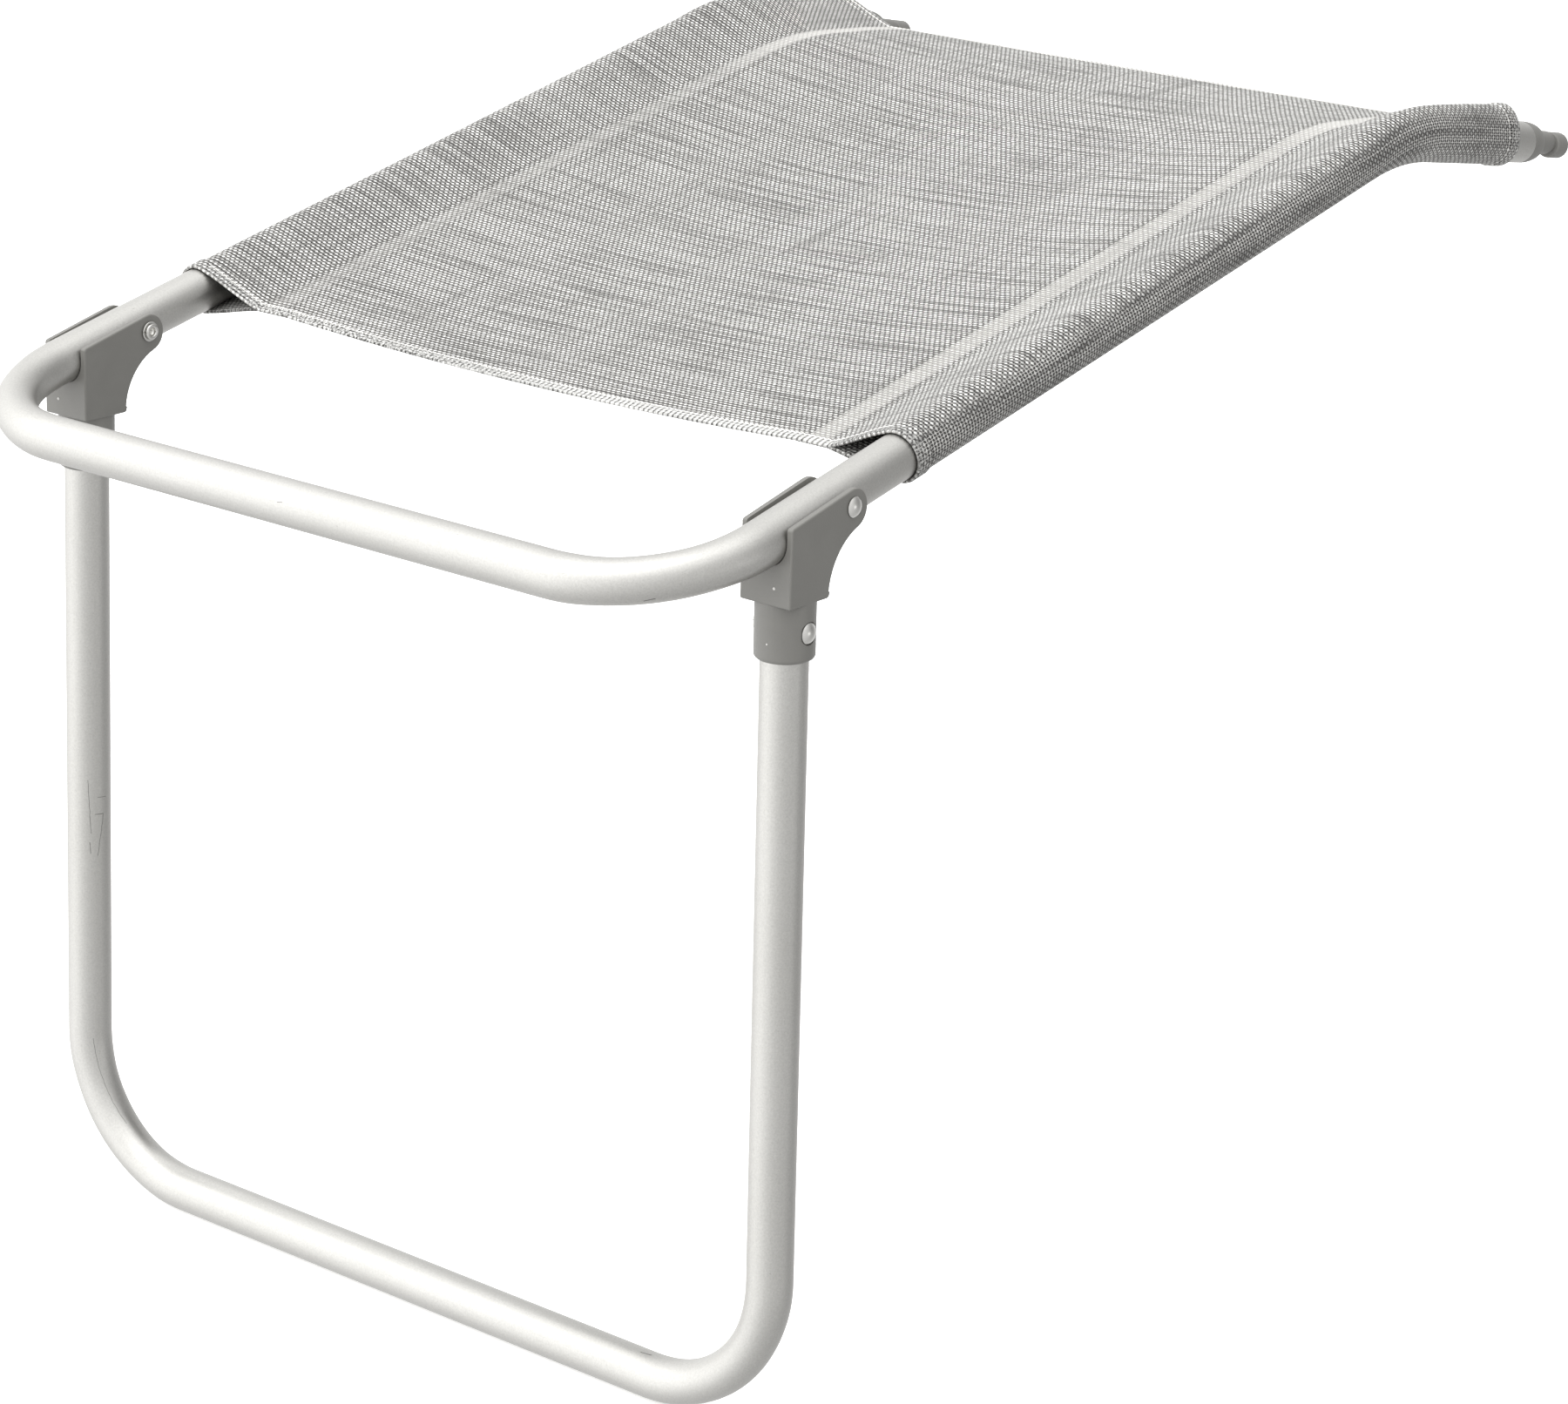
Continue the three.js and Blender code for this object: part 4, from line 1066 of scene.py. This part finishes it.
# Middle line of the cloth's section on the right side, from the centre of the seat round the pocket
# to the lap's edge under the weld: (x, height, pocket share)
def clothSection(distance, share):
    s = sling
    ease = share * share * (3 - 2 * share)
    weldHeight = mix(-s["weldDrop"], s["rearHemRise"], ease)
    # pulled tight at both hems, the cloth hangs through a little more towards the rear bend
    bowl = math.sin(math.pi * min(1, distance / slingLength) ** s["bowlSkew"])
    sag = s["sag"] * (1 - ease) + s["bowl"] * bowl
    rise = s["rearPocketRise"] * (1 - (1 - share) ** 2)
    weldEnd = stance["halfWidth"] - s["pocketReach"]
    bandEnd = weldEnd - s["weldBand"]
    radius = tube["radius"] + s["gap"] + s["thickness"] / 2
    points = []
    middleSteps = round(bandEnd / s["acrossStep"])
    for k in range(middleSteps):
        x = bandEnd * k / middleSteps
        points.append((x, weldHeight - sag * (1 - (x / bandEnd) ** 2), 0.0))
    for k in range(5):
        points.append((mix(bandEnd, weldEnd, k / 4), weldHeight, 0.0))
    wrap = s["wrap"]
    arc = []
    for k in range(37):
        angle = math.radians(mix(wrap, -wrap, k / 36))
        lift = rise * max(0.0, math.sin(angle))
        arc.append((stance["halfWidth"] + radius * math.cos(angle), math.sin(angle) * radius + lift, 1.0))

    # between weld and pocket the cloth runs nearly straight, slightly eased at both ends
    def eased(t):
        return mix(t, smoothStep(0, 1, t), s["easing"])

    start, last = arc[0], arc[-1]
    for k in range(1, 6):
        t = k / 6
        points.append((mix(weldEnd, start[0], t), mix(weldHeight, start[1], eased(t)), t))
    points += arc
    lap = weldHeight - s["thickness"] - s["lapGap"]
    for k in range(1, 6):
        t = k / 6
        points.append((mix(last[0], weldEnd, t), mix(last[1], lap, eased(t)), 1 - t))
    for k in range(5):
        points.append((mix(weldEnd, bandEnd, k / 4), lap, 0.0))
    return points


def makeSling():
    s = sling
    half = s["thickness"] / 2
    hemRows = [0, 0.35, 1.0, 2.5, 5, 7.5, 9.4, 10.6, 13]
    inner = slingLength - 2 * hemRows[-1]
    steps = round(inner / s["alongStep"])
    distances = hemRows + [hemRows[-1] + inner * k / steps for k in range(1, steps)]
    distances += [slingLength - d for d in reversed(hemRows)]
    grid, flat = [], []
    for distance in distances:
        y, z, lean, share = clothStation(distance)
        right = clothSection(distance, share)
        section = [(-x, h, w) for x, h, w in reversed(right[1:])] + right
        row = []
        for x, height, wrapShare in section:
            row.append((Vector((x, y + height * math.sin(lean), z + height * math.cos(lean))), wrapShare))
        grid.append(row)
        lengths = [0.0]
        for a, b in zip(section, section[1:]):
            lengths.append(lengths[-1] + math.hypot(b[0] - a[0], b[1] - a[1]))
        middle = lengths[len(lengths) // 2]
        flat.append([length - middle for length in lengths])
    rows, columns = len(grid), len(grid[0])

    # the cloth's outer side, from the neighbours of each point
    def normalAt(i, j):
        along = grid[min(i + 1, rows - 1)][j][0] - grid[max(i - 1, 0)][j][0]
        across = grid[i][min(j + 1, columns - 1)][0] - grid[i][max(j - 1, 0)][0]
        return across.cross(along).normalized()

    meshMaker = bmesh.new()
    layer = meshMaker.loops.layers.uv.new("cloth")
    outer, lower = [], []
    uvOf = {}
    for i in range(rows):
        edge = min(distances[i], slingLength - distances[i])
        hem = 1 - smoothStep(s["hem"] - s["hemStep"], s["hem"] + s["hemStep"], edge)
        rounded = math.sqrt(1 - max(0.0, 1 - edge / s["hemRound"]) ** 2)
        topRow, lowRow = [], []
        for j in range(columns):
            point, wrapShare = grid[i][j]
            normal = normalAt(i, j)
            u = flat[i][j]
            thick = half * 2 * (1 + s["hemExtra"] * hem)
            centreShift = (thick / 2 - half) * (2 * wrapShare - 1)
            wave = Vector((u / s["rippleAcross"], distances[i] / s["rippleAlong"], s["rippleSeed"]))
            ripple = s["ripple"] * noise.noise(wave)
            ripple *= smoothStep(0, s["calmEdge"], edge) * (1 - wrapShare)
            middle = point + normal * (centreShift + ripple)
            spread = thick / 2 * max(s["leastEdge"], rounded)
            for row, sign in ((topRow, 1), (lowRow, -1)):
                vertex = meshMaker.verts.new(seatPlace @ ((middle + normal * sign * spread) * mm))
                uvOf[vertex] = (u * mm, distances[i] * mm)
                row.append(vertex)
        outer.append(topRow)
        lower.append(lowRow)
    gridFaces(meshMaker, outer)
    gridFaces(meshMaker, lower, flip=True)
    gridFaces(meshMaker, [outer[0], lower[0]], flip=True)
    gridFaces(meshMaker, [outer[-1], lower[-1]])
    gridFaces(meshMaker, [[r[0] for r in outer], [r[0] for r in lower]])
    gridFaces(meshMaker, [[r[-1] for r in outer], [r[-1] for r in lower]], flip=True)
    bmesh.ops.recalc_face_normals(meshMaker, faces=meshMaker.faces)
    for face in meshMaker.faces:
        for loop in face.loops:
            loop[layer].uv = uvOf[loop.vert]

    sectionLength = flat[0][-1] - flat[0][0]
    # where the colours change, measured from the middle of the cloth and from its front hem: the weld,
    # its painted sheen, the painted shade of the pockets' outer sides and the hem
    cloth = {
        "weldMiddle": 171.8 * mm, "weldHalf": 7.2 * mm, "shadeStart": 229 * mm, "shadeEnd": 247 * mm,
        "length": slingLength * mm, "hem": stitching["fromEdge"] * mm,
        "shineStart": 360 * mm, "shineFull": 440 * mm,
    }
    made = newObject("meshSling", meshMaker, coatedPolyesterMesh(cloth), 60)
    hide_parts("sling")
    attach(made, "seat")
    return made, sectionLength


slingPiece, clothWidth = makeSling()
print("sling made", round(clothWidth), "x", round(slingLength), "mm")


# A point of the cloth's outer face in millimetres, and the direction out of it
def clothSurface(u, distance):
    y, z, lean, share = clothStation(distance)
    section = clothSection(distance, share)
    travelled, previous = 0.0, section[0]
    for point in section[1:]:
        step = math.hypot(point[0] - previous[0], point[1] - previous[1])
        if travelled + step >= abs(u):
            break
        travelled, previous = travelled + step, point
    part = (abs(u) - travelled) / step
    x, height = mix(previous[0], point[0], part), mix(previous[1], point[1], part)
    wrapShare = mix(previous[2], point[2], part)
    outX, outZ = -(point[1] - previous[1]) / step, (point[0] - previous[0]) / step
    side = -1 if u < 0 else 1
    thick = sling["thickness"] * (1 + sling["hemExtra"])
    lift = (thick - sling["thickness"]) / 2 * (2 * wrapShare - 1) + thick / 2
    normal = Vector((side * outX, outZ * math.sin(lean), outZ * math.cos(lean)))
    spot = Vector((side * x, y + height * math.sin(lean), z + height * math.cos(lean)))
    return spot + normal * lift, normal


# One row of lock stitches: the thread swells on top of the cloth and dips where the needle went in
def makeStitches(name, distance, seed):
    st = stitching
    count = round(2 * st["end"] / st["length"])
    rows = []
    for k in range(count * st["steps"] + 1):
        u = mix(-st["end"], st["end"], k / (count * st["steps"]))
        wander = st["wander"] * noise.noise(Vector((u / st["wanderLength"], seed, 0.5)))
        here, out = clothSurface(u, distance + wander)
        ahead, _ = clothSurface(u + st["lookAhead"], distance + wander)
        way = (ahead - here).normalized()
        across = way.cross(out).normalized()
        swell = abs(math.sin(math.pi * k / st["steps"])) ** st["swellPower"]
        radius = st["radius"] * (st["leastShare"] + st["swellShare"] * swell)
        middle = here + out * (st["radius"] * (swell - st["leastShare"]))
        row = []
        for i in range(st["sides"]):
            angle = 2 * math.pi * i / st["sides"]
            offset = (across * math.cos(angle) + out * math.sin(angle)) * radius
            row.append(seatPlace @ ((middle + offset) * mm))
        rows.append(row)
    made = newObject(name, liddedSolid(rows), sewingThread, 60)
    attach(made, "seat")
    return made


stitchRows = [
    makeStitches("hemStitchesFront", stitching["fromEdge"], 1.5),
    makeStitches("hemStitchesRear", slingLength - stitching["fromEdge"], 7.5),
]
print("hems sewn")
